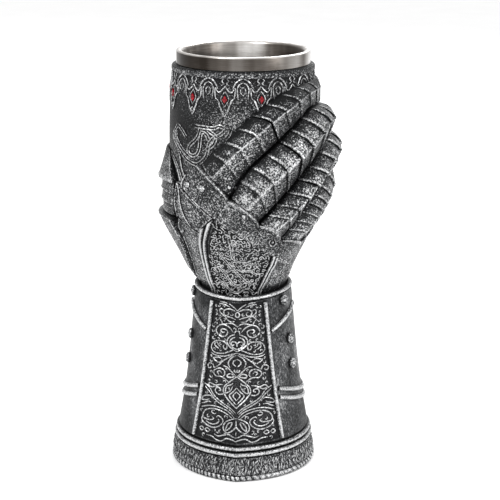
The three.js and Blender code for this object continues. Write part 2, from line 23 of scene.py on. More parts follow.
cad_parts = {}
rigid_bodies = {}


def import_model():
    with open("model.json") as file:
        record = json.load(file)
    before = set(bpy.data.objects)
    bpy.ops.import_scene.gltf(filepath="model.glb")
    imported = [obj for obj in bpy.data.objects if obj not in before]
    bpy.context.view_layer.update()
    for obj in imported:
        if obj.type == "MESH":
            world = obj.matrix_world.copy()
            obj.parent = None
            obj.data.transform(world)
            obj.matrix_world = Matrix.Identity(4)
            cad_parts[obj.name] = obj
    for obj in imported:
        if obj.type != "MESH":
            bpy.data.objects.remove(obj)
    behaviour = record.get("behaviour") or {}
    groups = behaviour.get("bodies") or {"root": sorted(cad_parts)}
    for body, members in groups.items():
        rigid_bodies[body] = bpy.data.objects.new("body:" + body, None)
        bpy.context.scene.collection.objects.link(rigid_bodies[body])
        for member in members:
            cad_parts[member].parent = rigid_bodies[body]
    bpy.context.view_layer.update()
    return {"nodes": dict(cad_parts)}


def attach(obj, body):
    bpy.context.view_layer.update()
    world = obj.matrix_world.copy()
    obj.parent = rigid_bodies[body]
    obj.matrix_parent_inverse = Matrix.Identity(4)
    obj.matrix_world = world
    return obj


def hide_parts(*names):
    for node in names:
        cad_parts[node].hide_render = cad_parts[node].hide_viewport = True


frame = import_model()

log = logging.getLogger("goblet")
MM = 0.001
SAME = 1e-6  # metres within which two points are one
ARC = 0.63  # millimetres of arc in a degree at the hand plates
SLANT = math.radians(40)  # angle at which the fingers climb from the knuckles
KEEL_STAND = 0.085  # share by which the cuff's keel stands out over its sides
KEEL_FADE = 24.0  # degrees in which the keel fades
CUFF_TOP = 84.0  # height of the cuff's rim
FRONT_DROP = 1.3  # how much lower the rim lies at the front

Pair = tuple[float, float]
Place = Pair
Triple = tuple[float, float, float]
Colour = Triple
Bend = Callable[[float, float, float], Vector]
WearAndShading = Callable[[float, float, float], Pair]


# ---- places and surfaces ---------------------------------------------------------------------
def mix(start: float, end: float, share: float) -> float:
    """Value a share of the way from start to end."""
    return start + (end - start) * share


def clamp(value: float, low: float = 0.0, high: float = 1.0) -> float:
    """Value kept between low and high."""
    return max(low, min(high, value))


def bell(distance: float, spread: float) -> float:
    """Smooth bump that is 1 at no distance and fades over the spread."""
    return math.exp(-((distance / spread) ** 2))


def blend(a: Sequence[float], b: Sequence[float], share: float) -> tuple[float, ...]:
    """Row of numbers a share of the way from one row to another."""
    return tuple(mix(p, q, share) for p, q in zip(a, b))


def polar(azimuth: float, z: float, radius: float) -> Vector:
    """Point in metres at an azimuth, height and radius."""
    angle = math.radians(azimuth)
    return Vector((radius * math.sin(angle), -radius * math.cos(angle), z)) * MM


def around(point: Vector) -> Triple:
    """Azimuth, height and radius of a point in metres."""
    x, y, z = point / MM
    return math.degrees(math.atan2(x, -y)), z, math.hypot(x, y)


def apart(a: Place, b: Place) -> float:
    """Millimetres between two places on the hand plates."""
    return math.hypot((a[0] - b[0]) * ARC, a[1] - b[1])


def smooth_row(rows: Sequence[Sequence[float]], share: float) -> tuple[float, ...]:
    """Point on the smooth curve through evenly spaced rows.

    Args:
        rows: Rows of numbers, the first at share 0 and the last at share 1.
        share: Place along the rows.

    Returns:
        The row of numbers there.
    """
    spans = len(rows) - 1
    step = min(int(clamp(share) * spans), spans - 1)
    t = clamp(share) * spans - step
    b, c = rows[step], rows[step + 1]
    a = rows[step - 1] if step else [2 * p - q for p, q in zip(b, c)]
    d = rows[step + 2] if step + 2 <= spans else [2 * q - p for p, q in zip(b, c)]
    return tuple(
        0.5 * (2 * q + (r - p) * t + (2 * p - 5 * q + 4 * r - s) * t * t
               + (3 * q - p - 3 * r + s) * t**3)
        for p, q, r, s in zip(a, b, c, d)
    )


def table(rows: Sequence[Pair], place: float) -> float:
    """Value on the straight lines between the rows of a table.

    Args:
        rows: Places and values, the places rising.
        place: Where to read it.

    Returns:
        The value there, or the nearest row's beyond the ends.
    """
    for (a, p), (b, q) in zip(rows, rows[1:]):
        if a <= place <= b:
            return mix(p, q, (place - a) / (b - a))
    return rows[0][1] if place < rows[0][0] else rows[-1][1]


def keel(azimuth: float) -> float:
    """How much further out the keeled cuff lies at an azimuth than at its sides."""
    turn = abs((azimuth + 180) % 360 - 180)
    return 1 + KEEL_STAND * math.exp(-turn / KEEL_FADE)


def dip(azimuth: float, z: float) -> float:
    """Drop of the cuff's upper part at the front."""
    front = max(0.0, math.cos(math.radians(azimuth)))
    return FRONT_DROP * front**2 * max(0.0, z / CUFF_TOP) ** 4


def follow_keel(azimuth: float, z: float, radius: float) -> Vector:
    """Where a spun point of the cuff goes."""
    return polar(azimuth, z - dip(azimuth, z), radius * keel(azimuth))


@dataclass(frozen=True)
class Form:
    """Surface turned round the goblet's axis, from rows of height and radius.

    Attributes:
        rows: Height and radius pairs, upwards.
        keeled: Whether its plan follows the cuff's keel.
    """

    rows: tuple[Pair, ...]
    keeled: bool = False

    def radius(self, z: float) -> float:
        """Radius at a height, eased between the rows.

        Args:
            z: The height.

        Returns:
            The radius, or the end row's beyond the ends.
        """
        rows = self.rows
        if z <= rows[0][0]:
            return rows[0][1]
        if z >= rows[-1][0]:
            return rows[-1][1]
        index = next(i for i in range(1, len(rows)) if rows[i][0] >= z) - 1
        (z0, r0), (z1, r1) = rows[index], rows[index + 1]
        slope = self._slope(index, 0.0)
        before = self._slope(index - 1, slope)
        after = self._slope(index + 1, slope)
        t, span = (z - z0) / (z1 - z0), z1 - z0
        start, end = (before + slope) / 2 * span, (after + slope) / 2 * span
        return (
            r0 * (2 * t**3 - 3 * t**2 + 1) + r1 * (3 * t**2 - 2 * t**3)
            + start * (t**3 - 2 * t**2 + t) + end * (t**3 - t**2)
        )

    def _slope(self, index: int, default: float) -> float:
        """Slope of one span of rows.

        Args:
            index: Number of the row that the span starts at.
            default: What stands for a span beyond the ends.

        Returns:
            Millimetres of radius for each one of height.
        """
        if not 0 <= index < len(self.rows) - 1:
            return default
        (z0, r0), (z1, r1) = self.rows[index], self.rows[index + 1]
        return (r1 - r0) / (z1 - z0)

    def point(self, place: Place, offset: float = 0.0) -> Vector:
        """Point on the surface, or out from it.

        Args:
            place: Where it lies.
            offset: How far out, in millimetres.

        Returns:
            The point in metres.
        """
        azimuth, z = place
        if not self.keeled:
            return polar(azimuth, z, self.radius(z) + offset)
        return polar(azimuth, z - dip(azimuth, z), self.radius(z) * keel(azimuth) + offset)

    def height(self, point: Vector) -> float:
        """How far a point stands above the surface.

        Args:
            point: The point in metres.

        Returns:
            Its height in millimetres.
        """
        azimuth, z, reach = around(point)
        if not self.keeled:
            return reach - self.radius(z)
        return reach - self.radius(z + dip(azimuth, z)) * keel(azimuth)

    def degrees(self, length: float, z: float) -> float:
        """Degrees round the surface that a length in millimetres takes up at a height."""
        return math.degrees(length / self.radius(z))


CORE = Form((
    (76, 17.0), (84, 17.4), (88, 18.3), (92, 19.8), (98, 22.2), (104, 25.0), (108, 27.0),
    (114, 29.8), (120, 31.6), (127, 32.4), (168, 32.4), (174, 31.9), (179, 31.2), (184, 30.7),
))
PLATE = Form((
    (80, 19.2), (85, 19.8), (88, 21.4), (92, 23.0), (98, 25.7), (104, 28.7), (109, 31.3),
    (115, 34.2), (122, 36.4), (130, 37.2), (146, 36.6),
))
CUFF = Form((
    (16.6, 29.9), (26, 28.3), (38, 26.4), (53, 24.6), (69, 23.1), (82.2, 21.9),
), keeled=True)
HEM = Form(((3, 32.6), (5, 32.5), (7.5, 32.1), (10.7, 31.5)), keeled=True)


# ---- finishes --------------------------------------------------------------------------------
class Slot(Enum):
    """Material slots of the record."""

    STEEL = "steel"
    PEWTER = "pewter"
    DARK = "dark_pewter"
    BRIGHT = "bright_pewter"
    STONE = "red_stone"


class Nodes:
    """Fills one material's node tree."""

    def __init__(self, name: str) -> None:
        """Starts an empty tree.

        Args:
            name: Name of the material.
        """
        self.material = bpy.data.materials.new(name)
        self.material.use_nodes = True
        self.tree = self.material.node_tree
        self.tree.nodes.clear()
        self.coords = self.add("ShaderNodeTexCoord").outputs["Object"]

    def add(self, kind: str, **settings: object) -> bpy.types.Node:
        """Adds a node.

        Args:
            kind: Its type.
            **settings: Its properties.

        Returns:
            The node.
        """
        node = self.tree.nodes.new(kind)
        for key, value in settings.items():
            setattr(node, key, value)
        return node

    def feed(self, socket: bpy.types.NodeSocket, value: object) -> None:
        """Fills an input.

        Args:
            socket: The input.
            value: Output that is linked to it, or the constant that it is set to.
        """
        if isinstance(value, bpy.types.NodeSocket):
            self.tree.links.new(value, socket)
        else:
            socket.default_value = value

    def math(self, kind: str, *values: object, clip: bool = False) -> bpy.types.NodeSocket:
        """Works a sum out of sockets or numbers.

        Args:
            kind: The operation.
            *values: What it takes.
            clip: Whether the result is kept between 0 and 1.

        Returns:
            The result.
        """
        node = self.add("ShaderNodeMath", operation=kind, use_clamp=clip)
        for socket, value in zip(node.inputs, values):
            self.feed(socket, value)
        return node.outputs[0]

    def span(self, value: object, low: float, high: float) -> bpy.types.NodeSocket:
        """Maps 0 to 1 onto low to high."""
        return self.math("MULTIPLY_ADD", value, high - low, low)

    def share(self, first: object, second: object, part: float) -> bpy.types.NodeSocket:
        """Mixes two values, the first with that part of the weight."""
        return self.math("ADD", self.math("MULTIPLY", first, part), self.math("MULTIPLY", second, 1 - part))

    def vary(
        self, level: object, value: object, weight: float, clip: bool = False
    ) -> bpy.types.NodeSocket:
        """Varies a level with a value of 0 to 1, up to half the weight either way."""
        return self.math("MULTIPLY_ADD", self.math("SUBTRACT", value, 0.5), weight, level, clip=clip)

    def noise(
        self, size: float, detail: float = 2.0, rough: float = 0.5, stretch: Triple = (1, 1, 1)
    ) -> bpy.types.NodeSocket:
        """Noise with features of about that many millimetres.

        Args:
            size: Feature size.
            detail: Octaves.
            rough: Share that each octave keeps.
            stretch: How many times finer the noise is along each axis.

        Returns:
            The noise value, 0 to 1.
        """
        place = self.add("ShaderNodeMapping", vector_type="POINT")
        self.feed(place.inputs["Vector"], self.coords)
        place.inputs["Scale"].default_value = stretch
        node = self.add("ShaderNodeTexNoise")
        self.feed(node.inputs["Vector"], place.outputs[0])
        node.inputs["Scale"].default_value = 1 / (size * MM)
        node.inputs["Detail"].default_value = detail
        node.inputs["Roughness"].default_value = rough
        return node.outputs[0]

    def occlusion(self, reach: float) -> bpy.types.NodeSocket:
        """Looks for how open the surface is.

        Args:
            reach: Distance in millimetres that counts.

        Returns:
            The openness, 0 in a deep hollow.
        """
        node = self.add("ShaderNodeAmbientOcclusion", samples=6)
        node.inputs["Distance"].default_value = reach * MM
        return node.outputs["AO"]

    def attribute(self, name: str) -> bpy.types.NodeSocket:
        """Value of a mesh attribute."""
        return self.add("ShaderNodeAttribute", attribute_name=name).outputs["Fac"]

    def ramp(self, level: object, stops: Sequence[tuple[float, Colour]]) -> bpy.types.NodeSocket:
        """Colours a level.

        Args:
            level: Value of 0 to 1.
            stops: Levels and their colours.

        Returns:
            The colour.
        """
        node = self.add("ShaderNodeValToRGB")
        elements = node.color_ramp.elements
        while len(elements) < len(stops):
            elements.new(0.5)
        for element, (place, colour) in zip(elements, stops):
            element.position = place
            element.color = (*colour, 1)
        self.feed(node.inputs[0], level)
        return node.outputs[0]

    def bump(self, height: object, depth: float, strength: float) -> bpy.types.NodeSocket:
        """Roughens the surface.

        Args:
            height: Height of 0 to 1.
            depth: Millimetres that a height of 1 stands for.
            strength: How much of it is used.

        Returns:
            The bumped normal.
        """
        node = self.add("ShaderNodeBump")
        node.inputs["Strength"].default_value = strength
        node.inputs["Distance"].default_value = depth * MM
        self.feed(node.inputs["Height"], height)
        return node.outputs[0]

    def shader(self, **inputs: object) -> bpy.types.Material:
        """Ends the tree in a Principled shader with those inputs.

        Args:
            **inputs: Values or sockets by input name, spaces written as underscores.

        Returns:
            The finished material.
        """
        node = self.add("ShaderNodeBsdfPrincipled")
        for key, value in inputs.items():
            self.feed(node.inputs[key.replace("_", " ")], value)
        end = self.add("ShaderNodeOutputMaterial")
        self.tree.links.new(node.outputs[0], end.inputs["Surface"])
        return self.material


@dataclass(frozen=True)
class Finish:
    """What a piece is made of.

    Attributes:
        name: Material name.
        slot: Slot of the record, not used.
    """

    name: str
    slot: Slot

    def material(self) -> bpy.types.Material:
        """The finish as a material, made once."""
        known = bpy.data.materials.get(self.name)
        return self.made(Nodes(self.name)) if known is None else known

    def made(self, nodes: Nodes) -> bpy.types.Material:
        """The finish made from an empty tree, in each finish's own way."""
        raise NotImplementedError


@dataclass(frozen=True)
class CastSilver(Finish):
    """Silver dry-brushed over a charcoal cast: grain, rubbed edges, dark recesses, painted highlight and
    shade.

    Attributes:
        grain: Size of the stipple in millimetres.
        contrast: How hard the stipple separates into dark and silver.
        cover: Share of silver over the charcoal.
        relief: Depth of the stipple in millimetres.
        wear_and_shading: How strongly rubbed raised edges and painted highlights brighten the silver.
        hollow: How strongly the antiquing darkens narrow hollows.
        mottle: How uneven the silver is from place to place.
        stretch: How many times finer the grain runs along each axis.
        patch: Size of the uneven patches in millimetres.
        reach: Width in millimetres of a hollow that counts as narrow.
        dull: Roughness of the recesses.
        bright: Roughness of the silver.
        recess: Colour of the recesses.
        body: Colour of the casting.
        silver: Colour of the silver.
    """

    grain: float = 0.68
    contrast: float = 5.6
    cover: float = 0.31
    relief: float = 0.3
    wear_and_shading: float = 0.62
    hollow: float = 0.55
    mottle: float = 0.5
    stretch: Triple = (1.0, 1.0, 1.0)
    patch: float = 11
    reach: float = 1.6
    dull: float = 0.6
    bright: float = 0.36
    recess: Colour = (0.008, 0.0085, 0.009)
    body: Colour = (0.075, 0.077, 0.08)
    silver: Colour = (0.6, 0.605, 0.61)

    def made(self, nodes: Nodes) -> bpy.types.Material:
        """Makes the silver.

        Args:
            nodes: Empty tree.

        Returns:
            The material.
        """
        coarse = nodes.noise(self.grain, 2, 0.6, self.stretch)
        fine = nodes.noise(self.grain * 0.45, 1, 0.5, self.stretch)
        grain = nodes.share(coarse, fine, 0.62)
        level = nodes.vary(self.cover, grain, self.contrast)
        broad = nodes.noise(self.patch, 3, 0.55, (1, 1, self.stretch[2]))
        level = nodes.vary(level, broad, self.mottle)
        # Rubbed edges and painted highlights brighten; painted shade and the antiquing in narrow hollows
        # darken.
        level = nodes.math("MULTIPLY_ADD", nodes.attribute("wear"), self.wear_and_shading, level)
        hollow = nodes.math("SUBTRACT", 1.0, nodes.occlusion(self.reach))
        dark = nodes.math("MULTIPLY_ADD", hollow, self.hollow, nodes.attribute("shade"))
        level = nodes.math("SUBTRACT", level, dark, clip=True)
        scratches = nodes.span(nodes.noise(0.25, 0), -0.06, 0.06)
        return nodes.shader(
            Base_Color=nodes.ramp(
                level, [(0.0, self.recess), (0.45, self.body), (1.0, self.silver)]
            ),
            Metallic=0.8,
            Roughness=nodes.math("ADD", nodes.span(level, self.dull, self.bright), scratches),
            Normal=nodes.bump(grain, self.relief, 0.8),
        )


@dataclass(frozen=True)
class BrushedSteel(Finish):
    """Stainless steel brushed round the cup, its colour painted with reflections.

    Attributes:
        tones: Levels of the painted reflections on the steel and their colours.
    """

    name: str = "brushed_steel"
    slot: Slot = Slot.STEEL
    tones: tuple[tuple[float, Colour], ...] = (
        (0.0, (0.03, 0.025, 0.021)), (0.25, (0.1, 0.088, 0.078)), (0.5, (0.24, 0.225, 0.21)),
        (0.75, (0.47, 0.45, 0.43)), (1.0, (0.84, 0.83, 0.82)),
    )

    def made(self, nodes: Nodes) -> bpy.types.Material:
        """Makes the steel.

        Args:
            nodes: Empty tree.

        Returns:
            The material.
        """
        lines = nodes.noise(3.0, 2, 0.6, (0.4, 0.4, 14.0))
        hairs = nodes.noise(1.2, 1, 0.5, (0.3, 0.3, 18.0))
        brush = nodes.share(lines, hairs, 0.6)
        # Painted reflection streaks that run up and down the cup.
        reflection_streaks = nodes.noise(9, 2, 0.6, (1, 1, 0.03))
        level = nodes.vary(nodes.attribute("wear"), reflection_streaks, 0.6)
        level = nodes.vary(level, brush, 0.35, clip=True)
        return nodes.shader(
            Base_Color=nodes.ramp(level, self.tones),
            Metallic=1.0,
            Roughness=nodes.span(brush, 0.24, 0.4),
            Normal=nodes.bump(brush, 0.03, 0.4),
        )


@dataclass(frozen=True)
class RedStone(Finish):
    """Clear red stone with a faint painted glow in place of its foil, and small flaws.

    Attributes:
        deep: Colour of its flaws.
        clear: Colour of its clear parts.
        painted_glow: Colour of its painted glow.
    """

    name: str = "cut_red_stone"
    slot: Slot = Slot.STONE
    deep: Colour = (0.05, 0.0004, 0.001)
    clear: Colour = (0.36, 0.004, 0.012)
    painted_glow: Colour = (0.75, 0.01, 0.02)

    def made(self, nodes: Nodes) -> bpy.types.Material:
        """Makes the stone.

        Args:
            nodes: Empty tree.

        Returns:
            The material.
        """
        cloud = nodes.noise(0.8, 2, 0.6)
        return nodes.shader(
            Base_Color=nodes.ramp(cloud, [(0.38, self.deep), (0.62, self.clear)]),
            Roughness=nodes.span(cloud, 0.06, 0.2),
            Specular_IOR_Level=0.3,
            # Painted glow: the stone gives off a little light of its own.
            Emission_Color=(*self.painted_glow, 1),
            Emission_Strength=0.02,
            Normal=nodes.bump(cloud, 0.05, 0.3),
        )


STIPPLED = CastSilver("stippled_silver", Slot.PEWTER, mottle=0.8, cover=0.29)
CUP_CAST = CastSilver(
    "cup_cast", Slot.PEWTER, grain=0.6, cover=0.1, contrast=5.8, hollow=1.2,
)
GROUND = CastSilver(
    "charcoal_ground", Slot.DARK, cover=0.05, contrast=2.4, relief=0.25, hollow=1.0,
)
SMOOTH = CastSilver(
    "satin_cuff", Slot.PEWTER, grain=0.75, contrast=2.3, cover=0.32, relief=0.13, mottle=1.2,
    stretch=(1.2, 1.2, 0.6),
)
RUBBED = CastSilver(
    "rubbed_silver", Slot.BRIGHT, contrast=3.4, cover=0.4, relief=0.2, wear_and_shading=0.5,
)
FILIGREE = CastSilver(
    "filigree", Slot.BRIGHT, contrast=3.4, cover=0.4, relief=0.12, wear_and_shading=0.45, hollow=0.25,
)
LINES = CastSilver(
    "cup_lines", Slot.BRIGHT, contrast=4, cover=0.4, relief=0.12, wear_and_shading=0.42,
)
CURLS = CastSilver(
    "hand_curls", Slot.BRIGHT, contrast=3.8, cover=0.42, relief=0.15, wear_and_shading=0.5, hollow=0.5,
)
BARK = CastSilver(
    "bark_hem", Slot.DARK, grain=0.85, contrast=5.6, cover=0.33, relief=0.45,
    stretch=(1.5, 1.5, 0.55),
)
STEEL = BrushedSteel()
STONE = RedStone()


# ---- mesh building ---------------------------------------------------------------------------
def settle(
    bm: bmesh.types.BMesh, name: str, finish: Finish, nodes: Iterable[str] = (), sharp: float = 38
) -> None:
    """Turns a bmesh into a finished piece of the goblet.

    Args:
        bm: The shape, in metres and in place. It is freed.
        name: Name of the piece.
        finish: What it is made of.
        nodes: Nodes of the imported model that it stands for.
        sharp: Angle in degrees from which an edge is left crisp.
    """
    limit = math.radians(sharp)
    for face in bm.faces:
        face.smooth = True
    for edge in bm.edges:
        edge.smooth = len(edge.link_faces) == 2 and edge.calc_face_angle(0.0) < limit
    mesh = bpy.data.meshes.new(name)
    bm.to_mesh(mesh)
    bm.free()
    piece = bpy.data.objects.new(name, mesh)
    bpy.context.scene.collection.objects.link(piece)
    mesh.materials.append(finish.material())
    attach(piece, "root")
    if nodes:
        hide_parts(*nodes)
    log.info("%s: %d faces", name, len(mesh.polygons))


def tone_layers(bm: bmesh.types.BMesh) -> tuple[bmesh.types.BMLayerItem, bmesh.types.BMLayerItem]:
    """Adds the layers that hold each point's wear, painted highlight included, and its shade."""
    layers = bm.verts.layers.float
    return layers.new("wear"), layers.new("shade")


@dataclass(frozen=True)
class Spot:
    """One point of a plate's face.

    Attributes:
        point: Where it is, in metres.
        wear: How rubbed it is, with any painted highlight.
        shade: How dark it is, mostly painted shade.
    """

    point: Vector
    wear: float = 0.0
    shade: float = 0.0


def bent_plate(
    us: Sequence[float],
    vs: Sequence[float],
    face: Callable[[float, float], Spot],
    back: Callable[[float, float], Vector],
) -> bmesh.types.BMesh:
    """Solid plate from a grid bent over the goblet.

    Args:
        us: Stops across the plate, 0 to 1.
        vs: Stops along the plate, 0 to 1.
        face: Outer face at a pair of shares.
        back: Inner face at a pair of shares.

    Returns:
        The closed plate.
    """
    bm = bmesh.new()
    wear, shade = tone_layers(bm)
    column = bm.verts.layers.int.new("column")
    row = bm.verts.layers.int.new("row")
    bmesh.ops.create_grid(bm, x_segments=len(us) - 1, y_segments=len(vs) - 1, size=1)
    for vert in bm.verts:
        vert[column] = round((vert.co.x + 1) / 2 * (len(us) - 1))
        vert[row] = round((vert.co.y + 1) / 2 * (len(vs) - 1))
    lower = list(bm.verts)
    raised = bmesh.ops.extrude_face_region(
        bm, geom=bm.verts[:] + bm.edges[:] + bm.faces[:], use_keep_orig=True
    )
    for vert in lower:
        vert.co = back(us[vert[column]], vs[vert[row]])
        # Painted shade on the inner face.
        vert[shade] = 0.9
    for vert in (item for item in raised["geom"] if isinstance(item, bmesh.types.BMVert)):
        spot = face(us[vert[column]], vs[vert[row]])
        vert.co = spot.point
        vert[wear] = spot.wear
        vert[shade] = spot.shade
    for name in ("column", "row"):
        bm.verts.layers.int.remove(bm.verts.layers.int[name])
    bmesh.ops.recalc_face_normals(bm, faces=bm.faces)
    return bm


def spin_section(
    bm: bmesh.types.BMesh, points: Iterable[Vector], steps: int, ring: bool = False
) -> None:
    """Spins a section once round the upright axis.

    Args:
        bm: What it is added to.
        points: The section's points, in metres.
        steps: Facets round the axis.
        ring: Whether the section closes on itself clear of the axis.
    """
    verts = [bm.verts.new(point) for point in points]
    chain = list(zip(verts, verts[1:]))
    if ring:
        chain.append((verts[-1], verts[0]))
    edges = [bm.edges.new(pair) for pair in chain]
    bmesh.ops.spin(
        bm, geom=verts + edges, cent=(0, 0, 0), axis=(0, 0, 1), angle=2 * math.pi, steps=steps,
        use_merge=True,
    )
    bmesh.ops.remove_doubles(bm, verts=bm.verts, dist=SAME)


def turned(
    section: Sequence[Pair],
    steps: int = 160,
    ring: bool = False,
    bend: Bend | None = None,
    wear_and_shading: WearAndShading | None = None,
) -> bmesh.types.BMesh:
    """Solid spun round the goblet's axis.

    Args:
        section: Radius and height of each point of the section, in millimetres.
        steps: Facets round the axis.
        ring: Whether the section closes on itself clear of the axis.
        bend: Where a spun point goes, from its azimuth, height and radius.
        wear_and_shading: Wear and shade, painted light and shade included, from the same three numbers.

    Returns:
        The closed solid.
    """
    bm = bmesh.new()
    wear, shade = tone_layers(bm)
    spin_section(bm, [polar(0, z, r) for r, z in section], steps, ring)
    for vert in bm.verts:
        spun = around(vert.co)
        if wear_and_shading:
            vert[wear], vert[shade] = wear_and_shading(*spun)
        if bend:
            vert.co = bend(*spun)
    bmesh.ops.recalc_face_normals(bm, faces=bm.faces)
    return bm


def even(count: int) -> list[float]:
    """Evenly spaced stops from 0 to 1."""
    return [i / count for i in range(count + 1)]


def mirrored(stops: Sequence[float]) -> list[float]:
    """Stops up to the middle, the middle, and the same stops from the other end."""
    return [*stops, 0.5, *[1 - stop for stop in reversed(stops)]]


def hemmed(count: int, width: float) -> list[float]:
    """Even stops with close ones beside both ends.

    Args:
        count: Spans between the close stops.
        width: Millimetres that the stops cover.

    Returns:
        The stops, 0 to 1.
    """
    near = [stop / width for stop in (0.0, 0.15, 0.35, 0.55, 0.85, 1.3)]
    middle = [mix(near[-1], 1 - near[-1], i / count) for i in range(1, count)]
    return near + middle + [1 - stop for stop in reversed(near)]


def lamed(within: Sequence[float], lames: int) -> list[float]:
    """Stops along a row of lames, from the stops along one."""
    return [(lame + stop) / lames for lame in range(lames) for stop in within] + [1.0]


def along_lame(v: float, lames: int) -> float:
    """Share along its own lame of a point at a share along the row."""
    return 1.0 if v >= 1 else clamp(v * lames - int(v * lames + 1e-6))


@dataclass(frozen=True)
class Strand:
    """Half-round raised line through places on the goblet.

    Attributes:
        path: Places along it.
        width: Width in millimetres.
        steps: Points for each span of the path.
    """

    path: Sequence[Place]
    width: float = 0.6
    steps: int = 4

    def places(self) -> list[Place]:
        """Places along the smooth line through the path."""
        count = (len(self.path) - 1) * self.steps
        return [smooth_row(self.path, i / count)[:2] for i in range(count + 1)]


def beside(path: Sequence[Place], shift: float) -> list[Place]:
    """Places that run beside a path on the cup.

    Args:
        path: Places along it.
        shift: Millimetres to its left.

    Returns:
        The places, one for each of the path's.
    """
    moved = []
    for i, (azimuth, z) in enumerate(path):
        a, b = path[max(i - 1, 0)], path[min(i + 1, len(path) - 1)]
        along, up = math.radians(b[0] - a[0]) * CORE.radius(z), b[1] - a[1]
        length = math.hypot(along, up)
        moved.append((azimuth - CORE.degrees(shift * up / length, z), z + shift * along / length))
    return moved


class Skin:
    """Outermost surface of pieces that are already made, for what is laid on top of them."""

    def __init__(self, pieces: Iterable[bpy.types.Object]) -> None:
        """Takes the pieces' meshes as they are now."""
        graph = bpy.context.evaluated_depsgraph_get()
        self.trees = [BVHTree.FromObject(piece, graph) for piece in pieces]

    def radius(self, place: Place) -> float:
        """Radius in millimetres of the outermost surface at a place.

        Args:
            place: Azimuth and height.

        Returns:
            The radius, or the core's where nothing lies over it.
        """
        clear = 90
        start, axis = polar(*place, clear), polar(*place, 0)
        inward = (axis - start).normalized()
        found = [CORE.radius(place[1])]
        for tree in self.trees:
            hit = tree.ray_cast(start, inward, clear * MM)[0]
            if hit:
                found.append((hit - axis).length / MM)
        return max(found)

    def point(self, place: Place, offset: float = 0.0) -> Vector:
        """Point on the skin, or out from it by an offset in millimetres."""
        return polar(*place, self.radius(place) + offset)

    def height(self, point: Vector) -> float:
        """Height in millimetres of a point in metres above the skin."""
        azimuth, z, reach = around(point)
        return reach - self.radius((azimuth, z))


def strand_mesh(
    strands: Iterable[Strand], form: Form | Skin, lift: float = 0.0
) -> bmesh.types.BMesh:
    """Raised lines on a form, as one mesh of round strands sunk into it.

    Args:
        strands: The lines.
        form: What they lie on.
        lift: How far above the form the middle of a strand lies, in millimetres.

    Returns:
        The mesh, with wear on the crowns and shade at the feet.
    """
    curve = bpy.data.curves.new("strands", "CURVE")
    curve.dimensions = "3D"
    curve.bevel_depth = MM / 2
    curve.bevel_resolution = 1
    curve.use_fill_caps = True
    for strand in strands:
        places = strand.places()
        spline = curve.splines.new("POLY")
        spline.points.add(len(places) - 1)
        for i, place in enumerate(places):
            spline.points[i].co = (*form.point(place, lift), 1)
            end = min(i, len(places) - 1 - i) / strand.steps
            spline.points[i].radius = strand.width * mix(0.55, 1.0, clamp(end))
    holder = bpy.data.objects.new("strands", curve)
    bpy.context.scene.collection.objects.link(holder)
    mesh = bpy.data.meshes.new_from_object(
        holder.evaluated_get(bpy.context.evaluated_depsgraph_get())
    )
    bpy.data.objects.remove(holder)
    bpy.data.curves.remove(curve)
    bm = bmesh.new()
    bm.from_mesh(mesh)
    bpy.data.meshes.remove(mesh)
    wear, shade = tone_layers(bm)
    for vert in bm.verts:
        height = form.height(vert.co) - lift
        vert[wear] = clamp(height / 0.25)
        vert[shade] = clamp(-height / 0.3) * 0.8
    return bm


class Boss(Enum):
    """Kinds of boss: radius and height from the crown to the foot, and the number of petals."""

    DOME = (((0, 0.75), (0.45, 0.68), (0.8, 0.42), (0.95, 0.1), (0.95, -0.3)), 0)
    RINGED = (
        ((0, 1.15), (0.45, 1.0), (0.75, 0.35), (1.05, 0.3), (1.4, 1.05), (1.75, 0.95),
         (1.95, 0.4), (2.0, -0.3)), 0,
    )
    FLOWER = (((0, 0.45), (0.6, 0.4), (1.3, 0.32), (1.6, 0.05), (1.6, -0.3)), 6)
    STUD = (
        ((0, 1.7), (0.5, 1.6), (0.9, 1.35), (1.2, 0.95), (1.5, 1.15), (1.9, 1.25), (2.3, 0.85),
         (2.4, 0.2), (2.4, -0.4)), 7,
    )


def boss(kind: Boss, place: Place, form: Form | Skin) -> bmesh.types.BMesh:
    """Round boss turned from a profile and seated on a surface.

    Args:
        kind: Which profile.
        place: Where it sits.
        form: What it sits on.

    Returns:
        The closed boss, in place.
    """
    profile, petals = kind.value
    bm = bmesh.new()
    wear, shade = tone_layers(bm)
    spin_section(bm, [Vector((r, 0, h)) * MM for r, h in profile], steps=24)
    bmesh.ops.holes_fill(bm, edges=bm.edges)
    crown = max(h for _, h in profile)
    for vert in bm.verts:
        reach = math.hypot(vert.co.x, vert.co.y) / MM
        wave = math.cos(math.atan2(vert.co.y, vert.co.x) * petals) if petals else 0.0
        share = clamp(vert.co.z / MM / crown)
        vert[wear] = share * (1 + 0.4 * wave)
        vert[shade] = 0.8 * (1 - share) ** 2
        vert.co.z += 0.18 * wave * clamp(reach) * share * MM
    outward = polar(place[0], 0.12, 1).normalized()
    turn = outward.to_track_quat("Z", "Y").to_matrix().to_4x4()
    turn.translation = form.point(place, 0.2)
    bmesh.ops.transform(bm, matrix=turn, verts=bm.verts)
    bmesh.ops.recalc_face_normals(bm, faces=bm.faces)
    return bm


def joined(parts: Iterable[bmesh.types.BMesh]) -> bmesh.types.BMesh:
    """Makes one mesh of several.

    Args:
        parts: The meshes. They are freed.

    Returns:
        The whole.
    """
    whole = bmesh.new()
    tone_layers(whole)
    for part in parts:
        mesh = bpy.data.meshes.new("part")
        part.to_mesh(mesh)
        part.free()
        whole.from_mesh(mesh)
        bpy.data.meshes.remove(mesh)
    return whole
